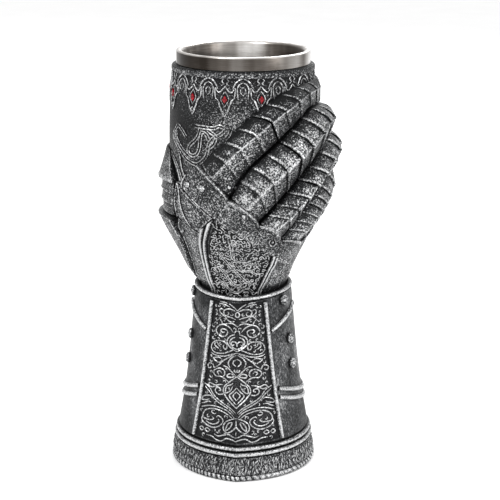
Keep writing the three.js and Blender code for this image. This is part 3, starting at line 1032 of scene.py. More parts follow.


# ---- cup -------------------------------------------------------------------------------------
# Painted reflections on the polished steel by azimuth, outside on the band and inside the bowl.
BAND_REFLECTION: tuple[Place, ...] = (
    (-180, 0.3), (-150, 0.5), (-125, 0.25), (-98, 0.3), (-84, 0.9), (-76, 0.8), (-71, 0.05),
    (-62, 0.2), (-57, 0.0), (-52, 0.01), (-46, 0.07), (-28, 0.08), (-22, 0.17), (-16, 0.24),
    (-10, 0.33), (-4, 0.24), (2, 0.25), (8, 0.21), (14, 0.15), (20, 0.26), (26, 0.32), (38, 0.3),
    (44, 0.35), (50, 0.55), (56, 0.63), (62, 0.43), (68, 0.22), (74, 0.6), (82, 0.9), (100, 0.4),
    (125, 0.2), (150, 0.45), (180, 0.3),
)
BOWL_REFLECTION: tuple[Place, ...] = (
    (-180, 0.88), (-175, 0.85), (-170, 0.76), (-164, 0.36), (-158, 0.37), (-152, 0.36), (-146, 0.25),
    (-133, 0.32), (-126, 0.3), (-119, 0.22), (-107, 0.3), (-90, 0.8), (0, 0.95), (90, 0.8),
    (110, 0.3), (124, 0.04), (130, 0.03), (136, 0.12), (142, 0.18), (154, 0.12), (160, 0.22),
    (166, 0.64), (172, 0.76), (180, 0.88),
)
# Half of the arcade's lines: whether it is about a bay's middle or a stone's, width, and its
# places in millimetres aside and up.
ARCADE: tuple[tuple[bool, float, tuple[Place, ...]], ...] = (
    (True, 0.75, ((0, 181.3), (1.8, 180.7), (3.4, 179.1), (4.5, 176.9))),
    (True, 0.6, ((0, 179.7), (1.5, 178.9), (2.4, 177.2), (2.3, 175.0), (2.0, 172.6))),
    (True, 0.5, ((0, 177.8), (1.0, 176.9), (0.9, 175.4), (0, 174.4))),
    (False, 0.75, ((0, 178.2), (1.4, 176.4), (2.9, 175.6), (4.3, 177.5))),
    (False, 0.85, ((4.5, 177.4), (4.4, 175.4), (4.1, 173.0))),
    (False, 0.75, ((4.2, 173.2), (2.8, 171.9), (2.0, 169.6), (1.0, 167.2), (0, 165.3))),
    (False, 0.58, ((0, 176.0), (1.7, 172.8), (0, 169.6))),
    (False, 0.58, ((0, 168.6), (0.8, 167.6), (0, 166.6))),
    (False, 0.58, ((0.5, 181.4), (1.5, 180.3), (0.6, 179.2), (1.7, 178.4))),
)
KNOTS: tuple[tuple[Place, ...], ...] = (
    ((-53, 159.5), (-60.6, 154.3), (-55.8, 151.2), (-48.1, 148), (-42.5, 145.6), (-35.3, 144),
     (-29.5, 144.1), (-23.5, 147.1), (-21.5, 150), (-20.3, 153.3), (-16.6, 156), (-10.7, 157.8),
     (-6.8, 160.1)),
    ((-53, 159.5), (-46.8, 157.5), (-42.3, 155)),
    ((-33.4, 160.4), (-27.8, 160.3), (-22.7, 160.2), (-16.5, 160.2), (-11.9, 161.2), (-6.8, 160.1)),
    ((-27.9, 160.1), (-29.3, 156.9), (-32.1, 154.5), (-37.4, 151.9), (-39.9, 149.1), (-36.7, 147.4),
     (-31.5, 148.1), (-28.7, 150.9), (-28, 153.8), (-26.6, 158), (-22.7, 157.3), (-20.2, 154.5)),
    ((-22.7, 160.1), (-19, 158.4), (-14.8, 156.7), (-16.6, 153.4), (-20.9, 151.3), (-26, 149.1)),
    ((-53.1, 156.6), (-55.7, 154.4), (-51.1, 151.3), (-44.2, 148.4), (-39.1, 146.9), (-33.7, 146)),
    ((-3.5, 159.5), (-4.6, 157.6), (-7.9, 155.5)),
    ((-67, 146), (-58, 143), (-52, 139), (-48, 134), (-46, 128)),
)


@dataclass
class Cup:
    """Steel liner and the cast cup round it, with its arcade and stones.

    Attributes:
        height: Height of the lip.
        lip_radius: Outer radius of the steel band.
        bore: Inner radius at the mouth.
        sheet: Thickness of the steel.
        band: Height of the steel band over the casting.
        depth: Depth of the steel cup.
        wall_top: Height of the casting's top.
        wall_foot: Height of its foot.
        socket_floor: Height of the floor of the liner's socket.
        stones: Number of bays in the arcade, each with the place of a stone.
        first_stone: Azimuth of the first stone.
        stone_height: Height of the stones' middles.
        stone_half: Half the width and half the height of a stone.
        covered: Azimuths between which the index finger covers the stones.
        relief: How far the middle of a cast line lies above the wall.
    """

    height: float = 190
    lip_radius: float = 29.3
    bore: float = 26.7
    sheet: float = 1.1
    band: float = 5.7
    depth: float = 76
    wall_top: float = 184.0
    wall_foot: float = 108.3
    socket_floor: float = 113
    stones: int = 13
    first_stone: float = -8
    stone_height: float = 172.6
    stone_half: Pair = (1.05, 1.75)
    covered: Pair = (35, 140)
    relief: float = 0.15

    def liner(self) -> None:
        """Spins the steel cup with its rolled lip."""
        top, floor = self.height, self.height - self.depth
        wall, foot = self.bore - 0.2, self.bore - 2.2
        under = floor - self.sheet
        lip = [(0.2, self.band), (0.18, 0.75), (0.05, 0.35), (-0.3, 0.1), (-0.8, 0)]
        mouth = [(0.9, 0.1), (0.35, 0.55), (0, 1.3), (-0.2, self.band)]
        section = [
            (0, under), (foot - 0.6, under), (foot + self.sheet, floor + 3),
            (wall + self.sheet, top - self.band),
            *[(self.lip_radius + out, top - drop) for out, drop in lip],
            *[(self.bore + out, top - drop) for out, drop in mouth],
            (foot, floor + 3), (foot - 0.7, floor + 1), (foot - 2, floor), (0, floor),
        ]
        settle(turned(section, steps=192, wear_and_shading=self.steel_rub), "steel_cup", STEEL,
               ["steel_liner"], sharp=50)

    def steel_rub(self, azimuth: float, z: float, radius: float) -> Pair:
        """Painted reflections on the steel: a painted highlight on the lip, streaks by azimuth elsewhere.

        Args:
            azimuth: Azimuth of the point.
            z: Its height.
            radius: Its radius.

        Returns:
            The painted reflection as its wear value, and no shade.
        """
        # Painted highlight along the rolled lip.
        lip = clamp((z - (self.height - 0.7)) / 0.3)
        if radius > self.bore + 1.2:
            tone = table(BAND_REFLECTION, azimuth)
        else:
            # Painted light: the bowl is lighter deeper down.
            tone = table(BOWL_REFLECTION, azimuth) + 0.35 * clamp((self.height - 2 - z) / 12)
        return mix(tone, 0.78, lip), 0.0

    def wall(self) -> None:
        """Spins the cast wall with its socket for the liner."""
        levels = [self.wall_foot, 112, 116, *range(120, 180, 2), 180, 180.8, 181.6, 183.5]
        section = [
            (0, self.wall_foot), *[(CORE.radius(z), z) for z in levels], (30.5, self.wall_top),
            (27.9, self.wall_top), (25.9, self.socket_floor), (0, self.socket_floor),
        ]
        settle(turned(section, steps=180, wear_and_shading=self.wall_tone_and_shadow), "cup_wall", CUP_CAST, ["cup_body"])

    @staticmethod
    def wall_tone_and_shadow(azimuth: float, z: float, radius: float) -> Pair:
        """Darker beside the knots, lighter over the knuckles, with a painted shadow under the border.

        Args:
            azimuth: Azimuth of the point.
            z: Its height.
            radius: Its radius, which makes no difference.

        Returns:
            Its wear value and its shade.
        """
        darkening = bell(azimuth + 62, 30) * bell(z - 161, 9)
        light = bell(azimuth - 5, 24) * bell(z - 162, 6)
        # Painted shadow under the raised border.
        under = bell(z - 180.8, 0.7)
        return 0.35 * light, 0.78 * darkening + 0.12 * clamp((z - 166) / 3) + 0.5 * under

    def border(self) -> None:
        """Raised strip under the steel band, with painted shade away from the front and under the band."""
        section = [
            (30.4, 181.2), (31.3, 181.35), (31.55, 181.8), (31.5, 183.1), (31.2, 183.6),
            (30.3, 183.7),
        ]

        def wear_and_shading(azimuth: float, z: float, radius: float) -> Pair:
            """Wear, and painted shade, of a point of the strip."""
            # Painted shade away from the front, and painted shadow along the top under the steel band.
            return 0.12, 0.2 * clamp((abs(azimuth) - 15) / 30) + 0.3 * clamp((z - 183) / 0.4)

        bm = turned(section, steps=180, ring=True, wear_and_shading=wear_and_shading)
        settle(bm, "border", STIPPLED, ["cup_border"])

    def stone_azimuths(self) -> list[float]:
        """Azimuths of the stones that the index finger doesn't cover."""
        places = [self.first_stone + i * 360 / self.stones for i in range(self.stones)]
        return [azimuth for azimuth in places if not self.covered[0] < azimuth < self.covered[1]]

    def stone(self, index: int, azimuth: float) -> None:
        """Cuts one lozenge stone: a girdle, a bevelled crown and a small table.

        Args:
            index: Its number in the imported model.
            azimuth: Where it sits.
        """
        bm = bmesh.new()
        bmesh.ops.create_cone(bm, cap_ends=True, segments=4, radius1=1.0, radius2=1.0, depth=0.5)
        top = [face for face in bm.faces if face.calc_center_median().z > 0.2]
        bmesh.ops.inset_individual(bm, faces=top, thickness=0.42, depth=0.32)
        for vert in bm.verts:
            seat = CORE.radius(self.stone_height) + 0.2 + (vert.co.z + 0.25) * 0.9
            aside = CORE.degrees(vert.co.x * self.stone_half[0], self.stone_height)
            z = self.stone_height + vert.co.y * self.stone_half[1]
            vert.co = polar(azimuth + aside, z, seat)
        bmesh.ops.recalc_face_normals(bm, faces=bm.faces)
        settle(bm, f"stone_{index}", STONE, [f"gem_{index}"], sharp=10)

    def arcade(self) -> None:
        """Pointed arches between the stones, stone settings and their drops."""
        pitch = 360 / self.stones
        strands: list[Strand] = []
        for i in range(self.stones):
            middle = self.first_stone + i * pitch
            for side in (-1, 1):
                for at_bay, width, line in ARCADE:
                    origin = middle + pitch / 2 if at_bay else middle
                    path = [(origin + side * CORE.degrees(x, 174), z) for x, z in line]
                    strands.append(Strand(path, width, steps=3))
        settle(strand_mesh(strands, CORE, self.relief), "arcade", LINES)

    def knotwork(self) -> None:
        """Interlaced straps on the cup beside the index knuckle, each a pair of lines."""
        strands = [
            Strand(beside(path, shift), steps=3) for path in KNOTS for shift in (-0.62, 0.62)
        ]
        settle(strand_mesh(strands, CORE, self.relief), "knotwork", LINES)

    def build(self) -> None:
        """Makes the cup's pieces in order."""
        self.liner()
        self.wall()
        self.border()
        for index, azimuth in enumerate(self.stone_azimuths(), start=1):
            self.stone(index, azimuth)
        self.arcade()
        self.knotwork()


# ---- fingers ---------------------------------------------------------------------------------
@dataclass(frozen=True)
class Station:
    """One line across a finger: its edges, and how far it stands over the cup.

    Attributes:
        low: Lower edge.
        high: Upper edge.
        low_rise: Rise of the lower edge in millimetres.
        high_rise: Rise of the upper edge.
        ridge: Rise of the ridge.
        share: Where the ridge lies, as a share from the lower edge.
    """

    low: Place
    high: Place
    low_rise: float
    high_rise: float
    ridge: float
    share: float

    def numbers(self) -> tuple[float, ...]:
        """The station as one row of numbers."""
        return (*self.low, *self.high, self.low_rise, self.high_rise, self.ridge, self.share)


class Digit(Enum):
    """Fingers from the top down, with their stations from the knuckle to the tip."""

    INDEX = (
        Station((-4, 130.5), (-26, 144.5), 3.4, 2.2, 5.6, 0.56),
        Station((8, 142.6), (-11.5, 152.9), 4.2, 2.2, 7.4, 0.58),
        Station((25, 152.2), (6, 163), 4.2, 2, 7.6, 0.6),
        Station((41, 160), (24, 171.4), 3.9, 1.9, 6.8, 0.6),
        Station((60, 167), (46, 176.9), 3, 1.6, 4.8, 0.6),
        Station((79, 167.3), (72, 178.4), 1.8, 1.2, 2.5, 0.6),
        Station((100, 165.8), (100, 178.4), 1.1, 1, 1.4, 0.6),
        Station((134, 164.5), (134, 177.3), 1, 1, 1.3, 0.5),
    )
    MIDDLE = (
        Station((16.5, 119.3), (-4, 130.5), 3.6, 3, 6, 0.5),
        Station((26, 126), (8, 142.6), 5, 4.2, 8.6, 0.5),
        Station((39, 135), (25, 152.2), 6, 4.6, 10.2, 0.5),
        Station((54, 143.5), (41, 160), 6.2, 4.8, 10.4, 0.5),
        Station((76, 152), (60, 167), 6.2, 4.4, 9.4, 0.5),
        Station((98, 154.3), (79, 167.3), 6, 3.8, 8, 0.5),
        Station((122, 153.5), (106, 165.6), 5, 3.4, 7, 0.5),
        Station((150, 151.5), (142, 164.2), 3, 2.4, 4.4, 0.5),
    )
    RING = (
        Station((35, 110.8), (16.5, 119.3), 4.6, 4, 7, 0.5),
        Station((44, 119.2), (26, 126), 6, 5, 9.6, 0.5),
        Station((53, 126.7), (39, 135), 6.6, 6, 11, 0.5),
        Station((65, 133.4), (54, 143.5), 6.8, 6.4, 11.6, 0.55),
        Station((82, 137.4), (76, 152), 6.6, 6.2, 11.2, 0.6),
        Station((99, 138.4), (98, 154.3), 6.4, 6, 10.5, 0.63),
        Station((123, 137.8), (122, 153.5), 5.4, 5, 8.6, 0.6),
        Station((152, 136), (150, 151.5), 3, 3, 5, 0.5),
    )
    LITTLE = (
        Station((61, 106), (35, 110.8), 3.4, 4, 5.6, 0.5),
        Station((67, 110.5), (44, 119.2), 3.8, 4.6, 7.4, 0.5),
        Station((74, 114.3), (53, 126.7), 3.6, 5.4, 8.2, 0.52),
        Station((84, 117.4), (65, 133.4), 3, 6, 8.6, 0.58),
        Station((99, 119.6), (99, 138.4), 2.6, 6, 8.2, 0.72),
        Station((124, 121), (123, 137.8), 2.6, 4.8, 7, 0.65),
        Station((150, 121.5), (152, 136), 2.2, 2.6, 4.2, 0.5),
    )


class Stretch(Enum):
    """Stretches of a finger: where each starts and ends along it, and its number of lames."""

    BASE = (0.012, 0.33, 4)
    BEND = (0.338, 0.66, 4)
    TIP = (0.668, 1.0, 3)


@dataclass
class Fingers:
    """Lamed armour of the four fingers that wrap the cup."""

    gap: float = 1.1  # between two fingers
    fall: float = 0.1  # share by which a lame sinks towards its end
    bed: float = 0.5  # height of the inner face over the cup
    chevron: float = 3.4  # how far a lame's ridge runs ahead of its edges
    nail: float = 0.055  # share of the finger that its rounded end takes up
    # Painted highlight on each finger's upper flank in the middle of a lame, and painted shade elsewhere on
    # it.
    painted_glow: ClassVar[dict[Digit, float]] = {
        Digit.INDEX: 0.0, Digit.MIDDLE: 0.8, Digit.RING: 0.5, Digit.LITTLE: 0.4,
    }
    darkening: ClassVar[dict[Digit, float]] = {
        Digit.INDEX: 0.62, Digit.MIDDLE: 0.24, Digit.RING: 0.16, Digit.LITTLE: 0.12,
    }

    def build(self) -> None:
        """Makes every stretch of every finger."""
        for digit in Digit:
            for part in Stretch:
                Lames(self, digit, part).build()


@dataclass
class Lames:
    """Lames on one stretch of a finger, placed by a share across them and a share along them."""

    fingers: Fingers
    digit: Digit
    part: Stretch

    def __post_init__(self) -> None:
        """Lists the finger's stations as rows of numbers."""
        self.rows = [station.numbers() for station in self.digit.value]

    def section(self, u: float, v: float) -> tuple[Place, float, float, float]:
        """Where a point lies before the lames are pushed into chevrons.

        Args:
            u: Share across, from the upper edge to the lower one.
            v: Share along the stretch.

        Returns:
            Its place, its rise over the cup, its climb from an edge to the ridge as a share, and
            its share along the whole finger.
        """
        start, end, _ = self.part.value
        share = mix(start, end, v)
        low_az, low_z, high_az, high_z, low_rise, high_rise, ridge, at = smooth_row(self.rows, share)
        width = apart((high_az, high_z), (low_az, low_z))
        past = clamp((share - 1 + self.fingers.nail) / self.fingers.nail)
        full = math.sqrt(1 - past**2)
        margin = self.fingers.gap / 2 / width + 0.24 * (1 - full)
        ridge = mix(self.fingers.bed + 0.3, ridge, mix(0.35, 1, full))
        climb = 2 * min(u, 1 - u)
        edge, edge_rise, swell = (1 - margin, high_rise, 1.7) if u < 0.5 else (margin, low_rise, 1.25)
        across = mix(edge, at, climb)
        rise = mix(edge_rise, ridge, 1 - (1 - climb) ** swell)
        place = mix(low_az, high_az, across), mix(low_z, high_z, across)
        return place, max(rise, 1.0), climb, share

    def shifted(self, u: float, v: float) -> tuple[Place, float, float]:
        """Where a point lies on the chevrons.

        Args:
            u: Share across.
            v: Share along.

        Returns:
            Its place, its rise over the cup and its climb from an edge to the ridge.
        """
        (azimuth, z), rise, climb, share = self.section(u, v)
        ease = clamp((share - 0.005) / 0.1) * clamp((1 - share) / 0.12)
        bow = 1 - (1 - climb) ** 2 if u < 0.5 else climb
        push = self.fingers.chevron * bow * ease
        lift = push * math.sin(SLANT) * clamp((75 - azimuth) / 60)
        return (azimuth + push * math.cos(SLANT) / ARC, z + lift), rise, climb

    def face(self, u: float, v: float) -> Spot:
        """Outer face: overlapping lames, keeled, with a rubbed lip and a pillowed upper flank.

        Args:
            u: Share across.
            v: Share along.

        Returns:
            The spot there.
        """
        place, rise, climb = self.shifted(u, v)
        bed = self.fingers.bed
        local = along_lame(v, self.part.value[2])
        height = rise * (1 - self.fingers.fall * local)
        upper = u < 0.5
        lip = bell(local - 0.07, 0.06)
        crest = bell((0.5 - u) * 16, 0.6)
        edge = clamp(climb / 0.06)
        pillow = math.sin(math.pi * local) * math.sin(math.pi * climb) if upper else 0.0
        height = mix(bed + (height - bed) * 0.72, height, math.sqrt(edge))
        height += (0.3 * lip + 0.45 * pillow) * edge + 0.35 * crest
        # Painted highlight: a bright patch in the middle of each lame on the upper flank, as strong as the
        # finger's painted_glow; painted shade dims the index's wear by a quarter.
        patch = bell(climb - 0.62, 0.28) * bell(local - 0.5, 0.3) if upper else 0.0
        painted_glow = self.fingers.painted_glow[self.digit] * patch
        wear = max((1.0 if upper else 0.5) * lip, 1.25 * crest, painted_glow)
        wear *= 0.75 if self.digit is Digit.INDEX else 1.0
        # Painted shade in the step at each lame's end, along the finger's edges beside the gaps, and over
        # the upper flank away from its highlight.
        groove = bell(local - 1.0, 0.05) if v < 1 else 0.0
        deep = clamp(1 - climb * (3.0 if upper else 1.8))
        darkening = self.fingers.darkening[self.digit] * (1 - patch) * (1 - lip) if upper else 0.04
        return Spot(CORE.point(place, height), wear, 0.45 * groove + 0.3 * deep + darkening)

    def back(self, u: float, v: float) -> Vector:
        """Inner face, on the cup."""
        return CORE.point(self.shifted(u, v)[0], self.fingers.bed)

    def build(self) -> None:
        """Builds and dresses the lames."""
        name = f"{self.digit.name.lower()}_{self.part.name.lower()}"
        us = mirrored([0, 0.02, 0.06, 0.14, 0.24, 0.35, 0.43, 0.475, 0.49])
        within = [0.0, 0.035, 0.09, 0.2, 0.35, 0.5, 0.65, 0.8, 0.92, 0.965]
        bm = bent_plate(us, lamed(within, self.part.value[2]), self.face, self.back)
        settle(bm, f"lames_{name}", STIPPLED, [name], sharp=45)


# ---- hand ------------------------------------------------------------------------------------
BED = 0.5  # how far out from the core the inner faces of the hand's plates lie


def run_on(z: float, over: Pair, u: float, v: float) -> float:
    """Height of a place on a plate whose last eighth runs on past its top edge."""
    return z + mix(*over, u) * clamp(8 * v - 7)


@dataclass(frozen=True)
class Guard:
    """Plate on the hand between a left and a right edge, each running up from the wrist."""

    node: str
    left: tuple[Place, ...]
    right: tuple[Place, ...]
    lift: float = 0.0  # how far its face is raised
    crown: float = 0.0  # how far its middle is domed
    bead: float = 0.35  # height of the bead along its edges
    finish: Finish = STIPPLED
    reach: float = 0.28  # how far its face spreads over the gaps beside it
    over: Pair = (0.0, 0.0)  # how far it runs on past its top edge, at its left and right
    spread: float = 0.0  # how much more its left side reaches at the top, as a share

    def place(self, u: float, v: float) -> Place:
        """Place at a share across and a share up the plate."""
        return blend(smooth_row(self.left, v), smooth_row(self.right, v), u)

    def size(self, v: float) -> Pair:
        """Width at a share up the plate, and length up the swelling hand, in millimetres."""
        length = 1.15 * (self.left[-1][1] - self.left[0][1])
        return apart(smooth_row(self.left, v), smooth_row(self.right, v)), length

    def face(self, u: float, v: float) -> Spot:
        """Outer face, with a bead along its sides and top.

        Args:
            u: Share across.
            v: Share up.

        Returns:
            The spot there.
        """
        width, length = self.size(v)
        reach = self.reach / width
        azimuth, z = self.place(mix(-reach * (1 + self.spread * v), 1 + reach, u), v)
        z = run_on(z, self.over, u, v)
        nearest = min(u * width, (1 - u) * width, (1 - v) * length)
        line = bell(nearest - 0.5, 0.32)
        fade = clamp((z - 85) / 7)
        rise = (self.lift + self.crown * 4 * u * (1 - u)) * fade
        rise += self.bead * line - 0.3 * clamp(1 - nearest / 0.25)
        # Darker just inside the bead, and painted shadow low down where the plate runs under the cuff's
        # rim.
        shade = 0.3 * bell(nearest - 1.3, 0.4) + 0.8 * clamp((87 - z) / 4)
        return Spot(PLATE.point((azimuth, z), rise), 0.9 * line, shade)

    def back(self, u: float, v: float) -> Vector:
        """Inner face at a pair of shares."""
        return CORE.point(self.place(u, v), BED)

    def build(self) -> None:
        """Builds and dresses the plate."""
        width, length = self.size(0.5)
        us = hemmed(max(6, int(width / 1.6)), width)
        vs = hemmed(max(6, int(length / 1.6)), length)
        bm = bent_plate(us, vs, self.face, self.back)
        settle(bm, f"{self.node}_cast", self.finish, [self.node])


@dataclass(frozen=True)
class Knuckle:
    """Domed plate before a finger, with a scalloped lip that runs on over it."""

    digit: Digit
    near: tuple[Place, Place]  # ends of its edge at the hand's back
    far: tuple[Place, Place]  # ends of its edge at the finger
    overlap: float  # how far its lip runs on

    def size(self) -> Pair:
        """Width and length in millimetres."""
        return apart(*self.near), apart(self.near[0], self.far[0])

    def place(self, u: float, v: float) -> Place:
        """Place on the plate.

        Args:
            u: Share across.
            v: Share from the hand's back to the finger.

        Returns:
            The place, moved along the fingers by the lip.
        """
        azimuth, z = blend(blend(*self.near, u), blend(*self.far, u), v)
        ahead = self.overlap * math.sin(math.pi * u) ** 0.6 * v**2 - 0.6 * (1 - v) ** 4
        return azimuth + ahead * math.cos(SLANT) / ARC, z + ahead * math.sin(SLANT)

    def face(self, u: float, v: float) -> Spot:
        """Outer face, domed behind its lip.

        Args:
            u: Share across.
            v: Share from the hand's back to the finger.

        Returns:
            The spot there.
        """
        width, length = self.size()
        front, rear = (1 - v) * length, v * length
        side = min(u, 1 - u) * width
        dome = v * math.sin(math.pi * u)
        scallop = bell(front - 0.55, 0.34)
        seam = max(0.3 * bell(rear - 0.5, 0.3), 0.2 * bell(side - 0.4, 0.3))
        rise = 0.8 + 2.2 * dome + 0.6 * scallop + 0.25 * seam - 0.4 * clamp(1 - front / 0.3)
        shade = 0.25 * bell(front - 1.6, 0.5) + 0.15 * bell(side, 0.3)
        if self.digit is Digit.INDEX:
            shade += 0.2 * dome
        return Spot(PLATE.point(self.place(u, v), rise), max(scallop, seam), shade)

    def back(self, u: float, v: float) -> Vector:
        """Inner face at a pair of shares."""
        return CORE.point(self.place(u, v), BED)

    def build(self) -> None:
        """Builds and dresses the plate."""
        name = f"knuckle_{self.digit.name.lower()}"
        width, length = self.size()
        bm = bent_plate(hemmed(10, width), hemmed(7, length), self.face, self.back)
        settle(bm, f"{name}_cast", STIPPLED, [name])


@dataclass(frozen=True)
class Cord:
    """Double raised cord beside the hand's back."""

    node: str
    inner: tuple[Place, ...]
    outer: tuple[Place, ...]
    over: Pair  # how far it runs on past its top, at those sides

    def place(self, u: float, v: float) -> Place:
        """Place at a share across and a share up the cord."""
        return blend(smooth_row(self.inner, v), smooth_row(self.outer, v), u)

    def face(self, u: float, v: float) -> Spot:
        """Outer face: two ridges that stand higher up the hand.

        Args:
            u: Share across.
            v: Share up.

        Returns:
            The spot there.
        """
        azimuth, z = self.place(mix(0.02, 0.98, u), v)
        z = run_on(z, self.over, u, v)
        ridges = max(bell(u - 0.26, 0.17), bell(u - 0.74, 0.17))
        rise = 0.2 + mix(0.7, 1.5, clamp((z - 84) / 7)) * ridges
        return Spot(PLATE.point((azimuth, z), rise), 2.0 * ridges, 0.8 * (1 - ridges))

    def back(self, u: float, v: float) -> Vector:
        """Inner face at a pair of shares."""
        return CORE.point(self.place(mix(0.06, 0.94, u), v), BED)

    def build(self) -> None:
        """Builds and dresses the cord."""
        bm = bent_plate(even(16), even(36), self.face, self.back)
        settle(bm, f"{self.node}_cast", RUBBED, [self.node])


@dataclass(frozen=True)
class Thumb:
    """Stretch of the thumb, keeled and stepped like the fingers."""

    node: str
    foot: Triple  # height, back azimuth and front azimuth
    top: Triple
    rises: Pair  # how far the keel stands over the cup at its foot and top
    lames: int

    def place(self, u: float, v: float) -> Place:
        """Place at a share across and a share up the thumb."""
        z, rear, front = blend(self.foot, self.top, v)
        return mix(rear, front, u), z

    def face(self, u: float, v: float) -> Spot:
        """Outer face, rubbed along its keel, its edges and the lips of its lames.

        Args:
            u: Share across.
            v: Share up.

        Returns:
            The spot there.
        """
        local = along_lame(v, self.lames)
        climb = 1 - abs(2 * u - 1)
        lip = bell(local - 0.08, 0.07)
        height = mix(*self.rises, v) * mix(0.55, 1, climb**0.85) * (1 - 0.12 * local)
        line = max(bell(min(u, 1 - u) - 0.03, 0.02), lip, bell(u - 0.5, 0.02))
        point = CORE.point(self.place(u, v), height + 0.35 * lip)
        # Painted shade over the whole stretch, deeper in the step at each lame's end.
        return Spot(point, line, 0.15 + 0.6 * bell(local - 1, 0.12))

    def back(self, u: float, v: float) -> Vector:
        """Inner face at a pair of shares."""
        return CORE.point(self.place(u, v), BED)

    def build(self) -> None:
        """Builds and dresses the stretch."""
        vs = lamed([0.0, 0.06, 0.15, 0.3, 0.5, 0.7, 0.88, 0.95], self.lames)
        us = mirrored([0, 0.02, 0.06, 0.15, 0.27, 0.4, 0.48])
        settle(bent_plate(us, vs, self.face, self.back), f"{self.node}_cast", STIPPLED, [self.node])


def level_edge(azimuth: float, *heights: float) -> tuple[Place, ...]:
    """Edge of places straight up the hand at one azimuth."""
    return tuple((azimuth, z) for z in heights)


WRIST = 80.6
BACK_LEFT = ((-31, WRIST), (-30.5, 88), (-29.5, 95), (-27, 103), (-22.5, 110.5), (-13.5, 120.3))
BACK_RIGHT = ((21, WRIST), (23, 86), (26, 91), (28.5, 95), (30.5, 98), (31.5, 100.6))
SIDE_RIGHT_LOW = ((-41, WRIST), (-39.5, 88), (-38, 95), (-35, 103), (-32, 109), (-28.5, 113.6))
SIDE_LEFT_LOW = ((-72, WRIST), (-66, 90), (-57, 99), (-51, 108), (-50.5, 114), (-46, 119))
CORD_RIGHT_INNER = ((22, WRIST), (24, 86), (27, 91), (29.5, 95), (31.4, 97.8), (32.4, 100.2))
CORD_RIGHT_OUTER = ((30.5, WRIST), (31, 86), (34, 91), (36.5, 95), (38.4, 97.2), (39.4, 98.6))
# Ends of the seams between the knuckle plates, above the index first: at the finger, and at the
# hand's back.
KNUCKLES = (
    ((-26, 144.5), (-41, 136.3)),
    ((-4, 130.5), (-12.5, 122)),
    ((16.5, 119.3), (7, 113.2)),
    ((35, 110.8), (24, 105.5)),
    ((61, 106), (52, 98)),
)
# Stems of the scrollwork on the hand's back, as shares across it and up it.
STEMS: tuple[tuple[Place, ...], ...] = (
    ((0.16, 0.72), (0.28, 0.62), (0.42, 0.52), (0.56, 0.43), (0.7, 0.33), (0.82, 0.3)),
    ((0.48, 0.6), (0.6, 0.52), (0.72, 0.55), (0.84, 0.5), (0.95, 0.54)),
    ((0.06, 0.42), (0.18, 0.48), (0.3, 0.4), (0.4, 0.3), (0.52, 0.24), (0.64, 0.3)),
    ((0.06, 0.2), (0.22, 0.26), (0.4, 0.14), (0.58, 0.12), (0.76, 0.2), (0.92, 0.14)),
    ((0.22, 0.96), (0.34, 0.84), (0.4, 0.7), (0.52, 0.66), (0.66, 0.72), (0.8, 0.66)),
)
# Raised seams on the knuckles and beside the thumb.
SEAMS: tuple[tuple[Place, ...], ...] = (
    ((-32.9, 140.8), (-36.7, 137.5), (-38, 134.2), (-33.9, 131.7), (-28.9, 129.6), (-24.5, 127.3),
     (-21.3, 125.6)),
    ((-52.5, 148.7), (-49.6, 145.2), (-47.6, 140.6), (-44.1, 137.4), (-41.6, 134.8), (-40.8, 131.6),
     (-40, 126), (-37.5, 121), (-34, 116.5)),
    ((-62, 144), (-52.5, 138), (-50, 131), (-50.5, 124.5), (-47, 118)),
)
# Bosses on the hand.
BOSSES: tuple[tuple[Boss, Place], ...] = (
    (Boss.DOME, (-3.3, 135.9)), (Boss.DOME, (0.4, 134.9)), (Boss.FLOWER, (-20.5, 135.1)),
    (Boss.FLOWER, (-32.9, 135.8)), (Boss.DOME, (-45.7, 112.9)), (Boss.DOME, (6.3, 123.9)),
    (Boss.RINGED, (27.4, 110.5)), (Boss.DOME, (29.2, 113.9)), (Boss.RINGED, (50, 115.6)),
)


